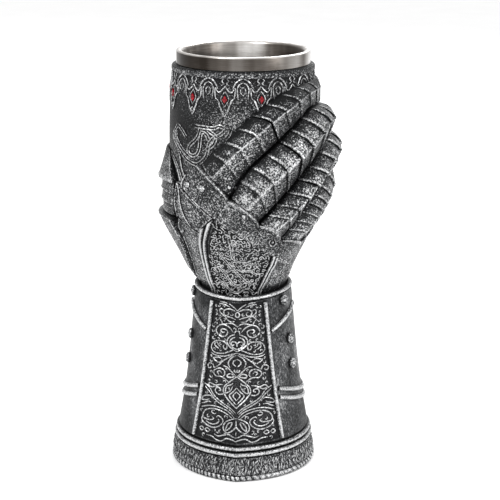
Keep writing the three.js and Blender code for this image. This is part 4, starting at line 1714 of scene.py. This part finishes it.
@dataclass
class Hand:
    """Plates, cords and thumb round the palm."""

    overlap: float = 2.0  # how far a knuckle plate's lip runs on over its finger
    curl_pitch: float = 2.25
    curl_rows: int = 19
    curl_columns: int = 21
    curl_start: Place = (-31, 82)
    back_top: tuple[Place, Place] = ((-13.5, 121.7), (31.5, 103.3))  # on the back's top edge
    guards: tuple[Guard, ...] = (
        Guard("hand_back", BACK_LEFT, BACK_RIGHT, crown=0.6, bead=0.0, finish=GROUND,
              over=(1.4, 2.7)),
        Guard("side_plate_lower", SIDE_LEFT_LOW, SIDE_RIGHT_LOW),
        Guard(
            "side_plate_upper", ((-45.3, 119.8), (-46, 127), (-43, 135)),
            ((-27.8, 114.4), (-22, 118.6), (-15.5, 122)), lift=0.7, over=(0.4, 0.4), reach=0.7,
        ),
        Guard(
            "outer_plate", ((31.5, WRIST), (32, 86), (35, 91), (37.5, 95), (40, 98.5)),
            ((62, WRIST), (60, 84.5), (57, 89), (54.5, 93), (53, 97)), over=(2.6, 0.8),
        ),
        Guard(
            "heel_plate", ((63.5, WRIST), (61.5, 85.5), (62, 97.5), (64, 105)),
            level_edge(125, WRIST, 90, 105, 119), lift=-0.4, spread=24,
        ),
        Guard(
            "palm_plate", level_edge(126.5, WRIST, 100, 118), level_edge(234.5, WRIST, 100, 118),
            lift=-0.6,
        ),
        Guard(
            "thenar_plate", level_edge(-124, WRIST, 85.4, 92, 101, 111, 117.6),
            ((-74, WRIST), (-72, 85.4), (-65, 92), (-57, 101), (-52.5, 111), (-56, 117.6)),
            lift=2, crown=1,
        ),
    )
    cords: tuple[Cord, ...] = (
        Cord("hand_cord_left", SIDE_RIGHT_LOW, BACK_LEFT, (0.4, 1.5)),
        Cord("hand_cord_right", CORD_RIGHT_INNER, CORD_RIGHT_OUTER, (2.8, 2.7)),
    )
    thumbs: tuple[Thumb, ...] = (
        Thumb("thumb_base", (118.3, -120, -58), (133, -114, -55), (5, 4), 3),
        Thumb("thumb_tip", (133.5, -114, -54), (147, -101, -68), (5.4, 1.4), 1),
    )

    def core(self) -> None:
        """Dresses the wrist and palm core that shows between the plates."""
        node = frame["nodes"]["hand_core"]
        node.data.materials.clear()
        node.data.materials.append(GROUND.material())

    def knuckles(self) -> list[Knuckle]:
        """The plate before each finger."""
        return [
            Knuckle(digit, (above[1], below[1]), (above[0], below[0]), self.overlap)
            for digit, above, below in zip(Digit, KNUCKLES, KNUCKLES[1:])
        ]

    def on_back(self, u: float, v: float) -> Place:
        """Place at a share across and a share up the face of the hand's back."""
        azimuth, z = self.guards[0].place(u, v)
        return azimuth, run_on(z, self.guards[0].over, u, v)

    def on_open_back(self, place: Place) -> bool:
        """Tells whether a curl has room at a place.

        Args:
            place: Middle of the curl.

        Returns:
            Whether it lies on the back of the hand, clear of its edges.
        """
        azimuth, z = place
        left = table([(height, side) for side, height in BACK_LEFT], z) + 2
        right = table([(height, side) for side, height in BACK_RIGHT], z) - 1.5
        (start, high), (end, low) = self.back_top
        top = mix(high, low, (azimuth - start) / (end - start)) - 0.3
        return left < azimuth < right and z < top

    @staticmethod
    def curl(rng: random.Random, middle: Place) -> Strand:
        """Small scroll with an outward flick.

        Args:
            rng: Seeded source of its size and turn.
            middle: Place of its eye.

        Returns:
            The scroll as a strand.
        """
        start = rng.uniform(0, 2 * math.pi)
        hand = rng.choice((-1, 1))
        reach = rng.uniform(0.7, 1.35)
        turns = rng.uniform(0.7, 1.25)
        path = []
        for k in range(9):
            t = k / 6
            radius = mix(0.3, reach, t) if k < 7 else reach + 0.55 * (k - 6)
            angle = start + hand * 2 * math.pi * turns * min(t, 1.06)
            aside = PLATE.degrees(radius * math.cos(angle), middle[1])
            path.append((middle[0] + aside, middle[1] + radius * math.sin(angle)))
        return Strand(path, rng.uniform(0.4, 0.54), steps=2)

    def filigree(self) -> None:
        """Dense scrolls over the back of the hand, between its cords."""
        rng = random.Random(11)
        strands: list[Strand] = []
        for stem in STEMS:
            for shift in (-0.012, 0.012):
                path = [self.on_back(u + shift, v + shift) for u, v in stem]
                strands.append(Strand(path, 0.5, steps=5))
        left, foot = self.curl_start
        for row in range(self.curl_rows):
            z = foot + row * self.curl_pitch + rng.uniform(-0.3, 0.3)
            step = PLATE.degrees(self.curl_pitch, z)
            for column in range(self.curl_columns):
                azimuth = left + (column + 0.5 * (row % 2) + rng.uniform(-0.2, 0.2)) * step
                if self.on_open_back((azimuth, z)):
                    strands.append(self.curl(rng, (azimuth, z)))
        settle(strand_mesh(strands, PLATE, lift=0.55), "hand_filigree", CURLS)

    def trim(self) -> None:
        """Raised seams and bosses on the knuckles, thumb and palm plates."""
        names = (
            "knuckle_", "side_plate_", "outer_plate", "heel_plate", "thenar_", "thumb_",
            "cup_wall", "lames_index_base", "lames_middle_base",
        )
        skin = Skin(
            piece for piece in bpy.context.scene.objects
            if piece.name.startswith(names) and piece.name not in frame["nodes"]
        )
        seams = [Strand(path, 0.75, steps=3) for path in SEAMS]
        settle(strand_mesh(seams, skin, lift=0.22), "hand_seams", RUBBED)
        bosses = [boss(kind, place, skin) for kind, place in BOSSES]
        settle(joined(bosses), "hand_bosses", FILIGREE)

    def build(self) -> None:
        """Makes the hand's pieces in order."""
        self.core()
        for plate in (*self.knuckles(), *self.guards, *self.cords, *self.thumbs):
            plate.build()
        self.filigree()
        self.trim()


# ---- cuff ------------------------------------------------------------------------------------
# Scrolls of the front panel's right half, in millimetres aside from the keel and up.
PANEL_SCROLLS: tuple[tuple[Place, ...], ...] = (
    ((4.2, 81.2), (5.4, 81.6), (7.6, 81.6)),
    ((3.3, 79.7), (5, 80.5), (7.9, 80.7)),
    ((0, 78.2), (1.7, 80), (3.5, 81.2)),
    ((0, 77.4), (1.6, 78.4), (3.2, 78.8), (5, 78.3), (5.9, 77.2), (5.3, 75.7), (4.1, 75.7),
     (3.6, 76.8), (4.3, 77.5)),
    ((5.3, 75.6), (6.8, 75.9), (7.8, 77.2), (7.2, 78.4), (6, 77.9)),
    ((1.2, 73.1), (2.8, 72.8), (4.4, 73.8), (5.8, 75.4), (7.8, 73.8)),
    ((0.7, 74.1), (2.8, 74.9), (4.6, 75.1)),
    ((0, 77.7), (0.8, 76.6), (0.5, 75.5), (0, 75.1)),
    ((0, 70.7), (1.3, 71.8), (2.8, 72.1), (4.4, 71.7), (6.2, 71.3), (6.9, 72.6), (8, 73.8)),
    ((1.6, 68), (2.9, 69.8), (4.5, 70.8), (6.2, 71.1), (7.8, 70.5), (9.1, 69), (9.4, 67.5),
     (8.3, 66.1), (6.7, 65.4), (5.1, 65.9), (4.1, 67.2), (4.2, 68.5), (5.4, 69), (6.6, 68.9),
     (7.1, 68), (6.3, 67.4), (5.3, 67.7)),
    ((0, 68.9), (0.7, 68.5), (1.1, 67.5)),
    ((0.9, 67.1), (2.4, 66.4), (3.6, 65.3), (4.3, 63.6), (3.7, 61.9), (1.9, 60.3), (0, 59.2)),
    ((0.8, 65.8), (2, 65.2), (2.9, 63.9), (2.8, 62.4), (1.7, 61), (0, 60.1)),
    ((0, 61.5), (0, 62.7), (0.8, 63.6), (1.9, 63.6), (2.5, 62.7), (1.9, 61.9), (1.2, 62.4)),
    ((1.5, 59.8), (3.5, 58.8), (5.6, 57.8), (8.3, 57.3), (10.6, 57.7), (11.8, 59.3), (11.3, 61.3),
     (9.5, 62.9), (6.9, 63.3), (5.1, 62.9), (4.2, 61.5), (4.7, 59.8), (5.8, 60.3), (5.9, 61.3),
     (5.4, 61.6)),
    ((7, 60.3), (8.2, 61.3), (9, 62.4), (10.1, 61.3), (9.3, 60.2), (8, 59.6)),
    ((0, 58.5), (1.9, 57.8), (3.8, 57), (6.1, 56.3), (8.6, 56.2), (10.8, 56.5), (11.9, 57)),
    ((0.5, 58.4), (2.4, 56.9), (4.3, 55.5), (6.2, 54), (7.7, 52.2), (9.2, 50.9)),
    ((0, 57.7), (2, 56.3), (3.2, 54.7), (3.6, 53.2), (2.9, 51.4)),
    ((0, 55.7), (1.3, 54.7), (1.5, 53.4), (0.3, 52.2)),
    ((6.4, 54.7), (7.8, 55.5), (9.3, 55.2), (10.7, 54.7), (9.5, 53.7), (8.1, 53.2), (6.9, 53.8),
     (6.4, 54.7)),
    ((0, 47.4), (1.7, 49.3), (3.8, 51.3), (5.2, 51.9), (6.2, 51.8)),
    ((0.8, 47.7), (2.3, 48.7), (3.9, 48.2), (3.8, 47.1), (2.3, 47.1), (0.8, 47.7)),
    ((0, 47.6), (1.7, 46.2), (3.3, 44.6), (5, 42.9), (5.7, 40.9), (5.3, 39.4), (4.1, 37.5), (2, 35.3),
     (0, 33.3)),
    ((1.5, 44.5), (2.5, 43.6), (4, 43), (4.7, 41.3), (4.6, 39.8), (3.1, 40.5), (2.1, 41.9), (1.4, 43.5)),
    ((0, 42.6), (1.5, 40.6), (3, 38.8), (1.7, 36.7), (0, 34.8)),
    ((0, 40.8), (1.4, 38.8), (0, 36.8)),
    ((3.3, 44.7), (5.2, 46.2), (7.1, 46.9), (9, 46.6), (10.3, 47.6), (10.2, 49.1), (8.6, 50.3),
     (7, 50.6), (5.4, 49.8), (5.1, 48.1), (6.1, 46.9)),
    ((6.5, 48.4), (7.4, 49.4), (8.6, 48.7), (7.9, 47.6)),
    ((8.9, 51.3), (10.3, 50.4), (10.8, 51.7), (12.3, 52), (13.6, 51), (13.1, 49.7), (12, 50.1),
     (12, 50.8)),
    ((5.3, 39.4), (6.7, 38.7), (8.3, 38.7), (9.5, 39.8), (9.1, 41.3), (7.6, 41.6), (6.9, 40.6),
     (8, 40.1)),
    ((6.1, 43.3), (7.7, 43), (9.6, 42.4), (12.1, 43), (13.2, 41.8), (11.3, 41.3), (9.3, 42.1),
     (7.7, 41.6)),
    ((0.3, 31.1), (2.5, 33.1), (5, 34.5), (7.6, 36), (9.7, 37.4), (11.2, 39.1), (12.4, 40.8),
     (14.3, 41.8), (15.5, 42.1)),
    ((1, 30.6), (3, 32.4), (5.5, 33.7), (8.1, 35.1), (10.4, 36.7), (11.9, 38.5), (13.6, 39.8),
     (15, 40.8)),
    ((10.4, 35.8), (11.7, 37.1), (13.7, 36.9), (15.8, 36), (16.6, 34.5), (14.5, 34.7), (12.3, 35.6)),
    ((11.4, 34.3), (13.1, 34.4), (14.9, 33.4), (16.8, 32.7)),
    ((0.8, 28.9), (2.2, 30.6), (4.3, 31.9), (6.8, 32.6), (9.8, 32.9), (12.3, 32.6), (14.7, 31.9),
     (16.8, 31.1)),
    ((1.6, 28.6), (3.8, 30.2), (6.3, 31.2), (9.3, 31.7), (11.7, 31.4), (14.2, 30.3), (15.6, 28.6),
     (15.7, 26.8), (14.2, 26.3), (12.5, 26.3), (11, 26.6), (10, 27.4), (11, 27.8)),
    ((15.6, 27.5), (16.4, 26.3), (15.8, 24.8), (13.6, 23.7), (10.8, 23.2), (8.4, 23.8), (6.5, 25.2),
     (5.6, 26.9), (6.4, 28.3), (8, 28.9), (8.8, 28)),
    ((14.6, 25.8), (12.8, 24.9), (10.5, 24.6), (8.6, 25.3), (7.4, 26.6), (7.9, 27.5)),
    ((8.8, 30), (9.9, 29.4), (11.1, 30), (10.6, 30.9), (9.6, 30.9)),
    ((0, 28.7), (2, 28.1), (4.4, 26.6), (5.4, 24.9), (5.2, 22.9), (3.9, 21.9)),
    ((0, 27.8), (0, 25.2), (1.4, 23.2), (3.1, 22), (5.2, 21.4)),
    ((1.7, 26.9), (3, 26.3), (4, 24.6), (4.2, 22.9), (2.6, 24.3), (1.7, 26.1), (1.7, 26.9)),
    ((0, 22.7), (0, 21.8), (0, 21)),
    ((0, 20), (1.2, 20.3), (3.1, 21.2), (5.8, 20.4), (7.9, 19.8), (9.7, 20.4)),
    ((0, 18.3), (1.2, 18.9), (4, 19.3), (6.3, 17.8), (8.7, 18.1), (10.8, 19.2), (13.7, 19.3)),
    ((11.7, 21.5), (13.1, 22.4), (14.3, 21.5), (13.1, 20.7), (11.9, 21.5)),
    ((15.1, 21.5), (16.2, 22.4), (17.4, 21.5), (16.3, 20.7), (15.1, 21.5)),
)


def half_round(
    inner: float, outer: float, foot: float, top: float, points: int = 9, bulge: float | None = None
) -> list[Pair]:
    """Section of a rounded cord.

    Args:
        inner: Radius of its back.
        outer: Radius of its crown.
        foot: Height of its lower side.
        top: Height of its upper side.
        points: Points of its round face.
        bulge: How far its face bulges, or None for half its height.

    Returns:
        Radius and height of each point.
    """
    middle, half = (foot + top) / 2, (top - foot) / 2
    deep = half if bulge is None else bulge
    turns = [math.pi * (i / (points - 1) - 0.5) for i in range(points)]
    arc = [(outer - deep + deep * math.cos(turn), middle + half * math.sin(turn)) for turn in turns]
    return [(inner, foot), *arc, (inner, top)]


@dataclass(frozen=True)
class Strip:
    """Rounded strip laid on the cuff."""

    name: str
    node: str
    route: Callable[[float], Place]  # place at a share of its length
    width: float
    height: float
    steps: int

    def aside(self, u: float, v: float, taper: float) -> Place:
        """Place beside the route.

        Args:
            u: Share across.
            v: Share along.
            taper: Share of the width that is used.

        Returns:
            The place.
        """
        azimuth, z = self.route(v)
        ahead_azimuth, ahead_z = self.route(v + 0.01)
        turn = math.radians(ahead_azimuth - azimuth) * CUFF.radius(z)
        rise = ahead_z - z
        offset = (u - 0.5) * self.width * taper / math.hypot(turn, rise)
        return azimuth + CUFF.degrees(offset * rise, z), z - offset * turn

    def face(self, u: float, v: float) -> Spot:
        """Outer face at a pair of shares, rubbed along its crown."""
        crown = math.sqrt(max(0.0, 1 - (2 * u - 1) ** 2 * 0.92))
        return Spot(CUFF.point(self.aside(u, v, 0.92), self.height * crown), 0.2 + 0.8 * crown**3)

    def back(self, u: float, v: float) -> Vector:
        """Inner face at a pair of shares."""
        return CUFF.point(self.aside(u, v, 1), 0.1)

    def build(self) -> None:
        """Builds and dresses the strip."""
        bm = bent_plate(even(10), even(self.steps), self.face, self.back)
        settle(bm, self.name, RUBBED, [self.node])


@dataclass
class Cuff:
    """Flared and keeled cuff with its panel, ribs, bands, studs and foot."""

    wall: float = 29.3  # radius under the cords
    bed: float = 29.6  # radius of the backs of the cords, hem and rope
    panel_top: Pair = (81.3, 31)  # height, and azimuth of the rib there
    panel_foot: Pair = (17.6, 41)
    rib_width: float = 2.1
    rib_height: float = 1.5
    brace: Pair = (67, 75.5)  # heights of a diagonal rib's ends
    bands: tuple[tuple[str, float], ...] = (("upper", 33.6), ("lower", 29.6))  # heights
    hem_rows: tuple[Pair, ...] = ((8.7, 1.2), (5.4, 1.3))  # height, and half a mark's length
    rope_top: float = 2.7
    rope_crown: float = 33.0
    rope_turns: int = 86
    studs: tuple[Place, ...] = (
        (58, 79.4), (66, 60.5), (66, 48.8), (-78, 80.2), (-72, 60.5), (-72, 48.8),
    )

    def rib_azimuth(self, z: float) -> float:
        """Azimuth of the rib that borders the front panel, at a height."""
        share = (z - self.panel_foot[0]) / (self.panel_top[0] - self.panel_foot[0])
        return mix(self.panel_foot[1], self.panel_top[1], share)

    def body(self) -> None:
        """Spins the cuff's body with painted shade on its left, under the bands and under the rim."""
        levels = [16.6, 18, 22, 26, 32, 38, 45, 53, 61, 69, 75, 79, 81, 82.2]
        section = [
            (0, 0.2), (self.wall, 0.2), (self.wall, 16.1), *[(CUFF.radius(z), z) for z in levels],
            (20.3, 82.2), (20, 76), (0, 76),
        ]

        def wear_and_shading(azimuth: float, z: float, radius: float) -> Pair:
            """Painted shade of a point of the body, and no wear."""
            # Painted shade on the left side, below the bands and under the rim.
            left = clamp((-35 - azimuth) / 20) * clamp((azimuth + 120) / 30)
            return 0.0, 0.19 * left + 0.12 * bell(z - 22, 7) + 0.1 * bell(z - 80, 3)

        bm = turned(section, steps=144, bend=follow_keel, wear_and_shading=wear_and_shading)
        settle(bm, "cuff_side", SMOOTH, ["cuff_body"])

    def ring(
        self, name: str, node: str, section: Sequence[Pair], finish: Finish, wear: float = 1.0
    ) -> None:
        """Closed ring round the cuff, rubbed on its crown.

        Args:
            name: Name of the piece.
            node: Node that it stands for.
            section: Radius and height of its section.
            finish: What it is made of.
            wear: How rubbed its crown is.
        """
        inner = min(r for r, _ in section)
        outer = max(r for r, _ in section)

        def wear_and_shading(azimuth: float, z: float, radius: float) -> Pair:
            """Wear and shade of a point of the ring."""
            share = (radius - inner) / (outer - inner)
            return share**3 * wear, 0.45 * (1 - share)

        bm = turned(section, steps=180, ring=True, bend=follow_keel, wear_and_shading=wear_and_shading)
        settle(bm, name, finish, [node])

    def marks(self) -> None:
        """Two uneven rows of short upright strokes cut proud on the hem."""
        rng = random.Random(23)
        strands = []
        for level, half in self.hem_rows:
            azimuth = -180.0
            while azimuth < 177:
                azimuth += rng.uniform(2.2, 6.4)
                lean, tall = rng.uniform(-1.1, 1.1), half * rng.uniform(0.4, 1.05)
                middle = level + rng.uniform(-0.5, 0.5)
                path = [
                    (azimuth + lean * share + rng.uniform(-0.5, 0.5), middle + tall * share)
                    for share in (-1, -0.3, 0.4, 1)
                ]
                strands.append(Strand(path, rng.uniform(0.45, 0.85), steps=2))
        settle(strand_mesh(strands, HEM, lift=0.12), "hem_marks", LINES)

    def twist(self, azimuth: float, z: float) -> float:
        """How far a point of the rope lies up a strand.

        Args:
            azimuth: Azimuth of the point.
            z: Its height.

        Returns:
            0 in the groove and 1 on the crown, less uneven where the rope is worn smooth.
        """
        turn = math.radians(azimuth)
        drift = 2.4 * math.sin(turn * 2 + 1) + 0.9 * math.sin(turn * 5 + 2)
        drift += 0.6 * math.sin(turn * 11)
        lean = (z - self.rope_top / 2) * 0.55
        lay = abs(math.sin(turn * self.rope_turns / 2 + drift + lean))
        return mix(lay, 0.85, 0.6 * bell(azimuth - 34, 22))

    def laid(self, azimuth: float, z: float, radius: float) -> Vector:
        """Where a spun point of the rope goes.

        Args:
            azimuth: Azimuth of the point.
            z: Its height.
            radius: Its radius before it swells with its strand.

        Returns:
            The point in metres.
        """
        crown = self.twist(azimuth, z) ** 0.6
        swell = 0.55 * (crown - 0.55) * clamp((radius - self.bed - 0.1) / 1.2)
        return polar(azimuth, clamp(z, 0, self.rope_top), (radius + swell) * keel(azimuth))

    def rope(self) -> None:
        """Twisted rope round the foot."""
        section = half_round(self.bed, self.rope_crown, 0, self.rope_top, points=11, bulge=1.3)

        def wear_and_shading(azimuth: float, z: float, radius: float) -> Pair:
            """Wear on the strands' crowns and shade in their grooves."""
            twist = self.twist(azimuth, z)
            return clamp(twist * 1.3 - 0.3), clamp(0.55 - twist) * 1.5

        bm = turned(section, steps=self.rope_turns * 6, ring=True, bend=self.laid, wear_and_shading=wear_and_shading)
        settle(bm, "rope", RUBBED, ["foot_rope"])

    def panel_place(self, u: float, v: float) -> Place:
        """Place on the front panel.

        Args:
            u: Share across, between the ribs.
            v: Share up.

        Returns:
            The place.
        """
        z = mix(self.panel_foot[0], self.panel_top[0], v)
        limit = self.rib_azimuth(z) - CUFF.degrees(self.rib_width / 2 + 0.3, z)
        return mix(-limit, limit, u), z

    def panel(self) -> None:
        """Charcoal ground of the front panel."""
        def face(u: float, v: float) -> Spot:
            """Outer face at a pair of shares, darker along its edges."""
            shade = 0.35 * clamp(1 - min(u, 1 - u, v, 1 - v) / 0.05)
            return Spot(CUFF.point(self.panel_place(u, v), 0.55), 0.0, shade)

        def back(u: float, v: float) -> Vector:
            """Inner face at a pair of shares."""
            return CUFF.point(self.panel_place(u, v), 0.1)

        settle(bent_plate(even(40), even(50), face, back), "panel_ground", GROUND,
               ["cuff_front_panel"])

    @staticmethod
    def both_sides(path: Sequence[Pair], width: float, steps: int) -> list[Strand]:
        """Strands on both sides of the keel, from a path in millimetres aside from it and up."""
        mirrors = [[(side * CUFF.degrees(x, z), z) for x, z in path] for side in (-1, 1)]
        return [Strand(places, width, steps) for places in mirrors]

    def scrolls(self) -> None:
        """Mirrored scrollwork raised on the front panel."""
        strands = [
            strand for path in PANEL_SCROLLS for strand in self.both_sides(path, 0.68, 4)
        ]
        strands += self.filler(strands)
        settle(strand_mesh(strands, CUFF, lift=0.6), "panel_scrolls", FILIGREE)

    def filler(self, strands: Sequence[Strand]) -> list[Strand]:
        """Small commas and curls in the spaces that the scrolls leave open.

        Args:
            strands: The scrolls.

        Returns:
            The strands that fill the spaces, mirrored like the scrolls.
        """
        rng = random.Random(5)
        taken = [
            (math.radians(azimuth) * CUFF.radius(z), z)
            for strand in strands for azimuth, z in strand.places()
        ]
        filled: list[Strand] = []
        for row in range(58):
            z = 19 + row * 1.08 + rng.uniform(-0.3, 0.3)
            limit = math.radians(self.rib_azimuth(z)) * CUFF.radius(z) - 2.2
            for column in range(14):
                x = 0.9 + column * 1.2 + rng.uniform(-0.3, 0.3)
                clear = min(math.hypot(x - a, z - b) for a, b in taken)
                if x > limit or clear < 1.05:
                    continue
                start, hand = rng.uniform(0, 2 * math.pi), rng.choice((-1, 1))
                reach = min(clear - 0.45, 1.1)
                path = [
                    (x + mix(0.15, reach, k / 5) * math.cos(start + hand * k * 0.95),
                     z + mix(0.15, reach, k / 5) * math.sin(start + hand * k * 0.95))
                    for k in range(6)
                ]
                taken += path + [(-a, b) for a, b in path]
                filled += self.both_sides(path, 0.52, 2)
        return filled

    def ribs(self) -> None:
        """Ribs beside the front panel, and the diagonal ones that leave them."""
        foot, top = self.brace
        for side, sign in (("left", -1), ("right", 1)):
            def upright(share: float) -> Place:
                """Place along the rib beside the panel."""
                z = mix(self.panel_foot[0], self.panel_top[0], share)
                return sign * self.rib_azimuth(z), z

            def slanted(share: float) -> Place:
                """Place along the diagonal rib."""
                return sign * mix(self.rib_azimuth(foot) + 4, 84, share), mix(foot, top, share)

            rib = f"panel_rib_{side}"
            Strip(f"rib_{side}", rib, upright, self.rib_width, self.rib_height, 40).build()
            Strip(f"brace_{side}", f"diagonal_rib_{side}", slanted, 2.0, 1.3, 20).build()

    @staticmethod
    def climb(azimuth: float) -> float:
        """How far a band has climbed towards the panel's ribs, at an azimuth of 0 to 360."""
        near = max(0.0, (95 - min(azimuth, 360 - azimuth)) / 52.5)
        return 6.2 * near**1.2

    def side_bands(self) -> None:
        """Two bands round the sides and back, which climb towards the panel ribs."""
        for name, level in self.bands:
            def route(share: float) -> Place:
                """Place along the band."""
                azimuth = mix(42.5, 317.5, share)
                return azimuth, level + self.climb(azimuth)

            Strip(f"band_{name}", f"side_band_{name}", route, 2.2, 1.2, 90).build()

    def build(self) -> None:
        """Makes the cuff's pieces in order."""
        self.body()
        self.ring("wrist_rim", "cuff_rim", half_round(20.5, 22.3, 82.5, 84.4), RUBBED)
        self.ring("cord_upper", "foot_cord_upper", half_round(self.bed, 31.3, 13.7, 15.8), RUBBED)
        self.ring("cord_lower", "foot_cord_lower", half_round(self.bed, 31.9, 11.1, 13.2), RUBBED)
        hem = [(self.bed, HEM.rows[0][0]), *[(r, z) for z, r in HEM.rows], (self.bed, HEM.rows[-1][0])]
        self.ring("hem_bark", "hem", hem, BARK, wear=0.0)
        self.marks()
        self.rope()
        self.panel()
        self.scrolls()
        self.ribs()
        self.side_bands()
        for index, place in enumerate(self.studs, start=1):
            stud = boss(Boss.STUD, place, CUFF)
            settle(stud, f"stud_{index}", RUBBED, [f"rosette_{index}"])


# ---- studio ----------------------------------------------------------------------------------
@dataclass(frozen=True)
class Lamp:
    """Soft area light."""

    name: str
    place: Triple
    size: Pair
    power: float

    def hang(self, aim: Triple) -> None:
        """Hangs the lamp.

        Args:
            aim: What it faces, in metres.
        """
        light = bpy.data.lights.new(self.name, "AREA")
        light.shape = "RECTANGLE"
        light.size, light.size_y = self.size
        light.energy = self.power
        lamp = bpy.data.objects.new(self.name, light)
        lamp.location = self.place
        inward = Vector(aim) - Vector(self.place)
        lamp.rotation_euler = inward.to_track_quat("-Z", "Y").to_euler()
        bpy.context.scene.collection.objects.link(lamp)


@dataclass
class Studio:
    """Pale floor, soft lights and the camera."""

    camera_azimuth: float = 6.0
    camera_reach: float = 640.0
    camera_height: float = 274.26
    camera_pitch: float = 15.358
    lens: float = 105.12
    sensor: float = 36
    shift: float = 0.0134
    floor_half: float = 6
    sky: float = 1.03
    aim: Triple = (0, 0, 0.1)
    lamps: tuple[Lamp, ...] = (
        Lamp("key", (-0.6, -0.8, 1.2), (0.4, 0.4), 11),
        Lamp("fill", (0.95, -0.5, 0.6), (0.3, 0.8), 5),
        Lamp("back", (0.2, 0.9, 0.9), (0.8, 0.3), 8),
    )

    def floor(self) -> None:
        """Wide pale floor."""
        bm = bmesh.new()
        bmesh.ops.create_grid(bm, x_segments=1, y_segments=1, size=self.floor_half)
        mesh = bpy.data.meshes.new("floor")
        bm.to_mesh(mesh)
        bm.free()
        floor = bpy.data.objects.new("floor", mesh)
        bpy.context.scene.collection.objects.link(floor)
        nodes = Nodes("pale_floor")
        tone = nodes.ramp(nodes.noise(60), [(0.3, (0.9, 0.9, 0.9)), (0.7, (0.92, 0.92, 0.92))])
        mesh.materials.append(nodes.shader(Base_Color=tone, Roughness=0.85))

    def surroundings(self) -> None:
        """Even white light from all sides."""
        world = bpy.data.worlds.new("studio")
        world.use_nodes = True
        sky = world.node_tree.nodes["Background"]
        sky.inputs["Color"].default_value = (1, 1, 1, 1)
        sky.inputs["Strength"].default_value = self.sky
        bpy.context.scene.world = world

    def camera(self) -> None:
        """Camera a little to the right of the keel, looking slightly down."""
        data = bpy.data.cameras.new("camera")
        data.lens = self.lens
        data.sensor_width = self.sensor
        data.shift_x = self.shift
        camera = bpy.data.objects.new("camera", data)
        camera.location = polar(self.camera_azimuth, self.camera_height, self.camera_reach)
        camera.rotation_euler = (
            math.radians(90 - self.camera_pitch), 0, math.radians(self.camera_azimuth)
        )
        bpy.context.scene.collection.objects.link(camera)
        bpy.context.scene.camera = camera

    def build(self) -> None:
        """Sets up the whole studio."""
        self.floor()
        self.surroundings()
        for lamp in self.lamps:
            lamp.hang(self.aim)
        bpy.context.scene.view_settings.view_transform = "Standard"
        self.camera()


def main() -> None:
    """Builds the goblet's parts in order."""
    logging.basicConfig(level=logging.INFO, format="%(name)s %(message)s")
    for part in (Studio(), Cup(), Fingers(), Hand(), Cuff()):
        log.info("building %s", type(part).__name__)
        part.build()


if __name__ == "__main__":
    main()
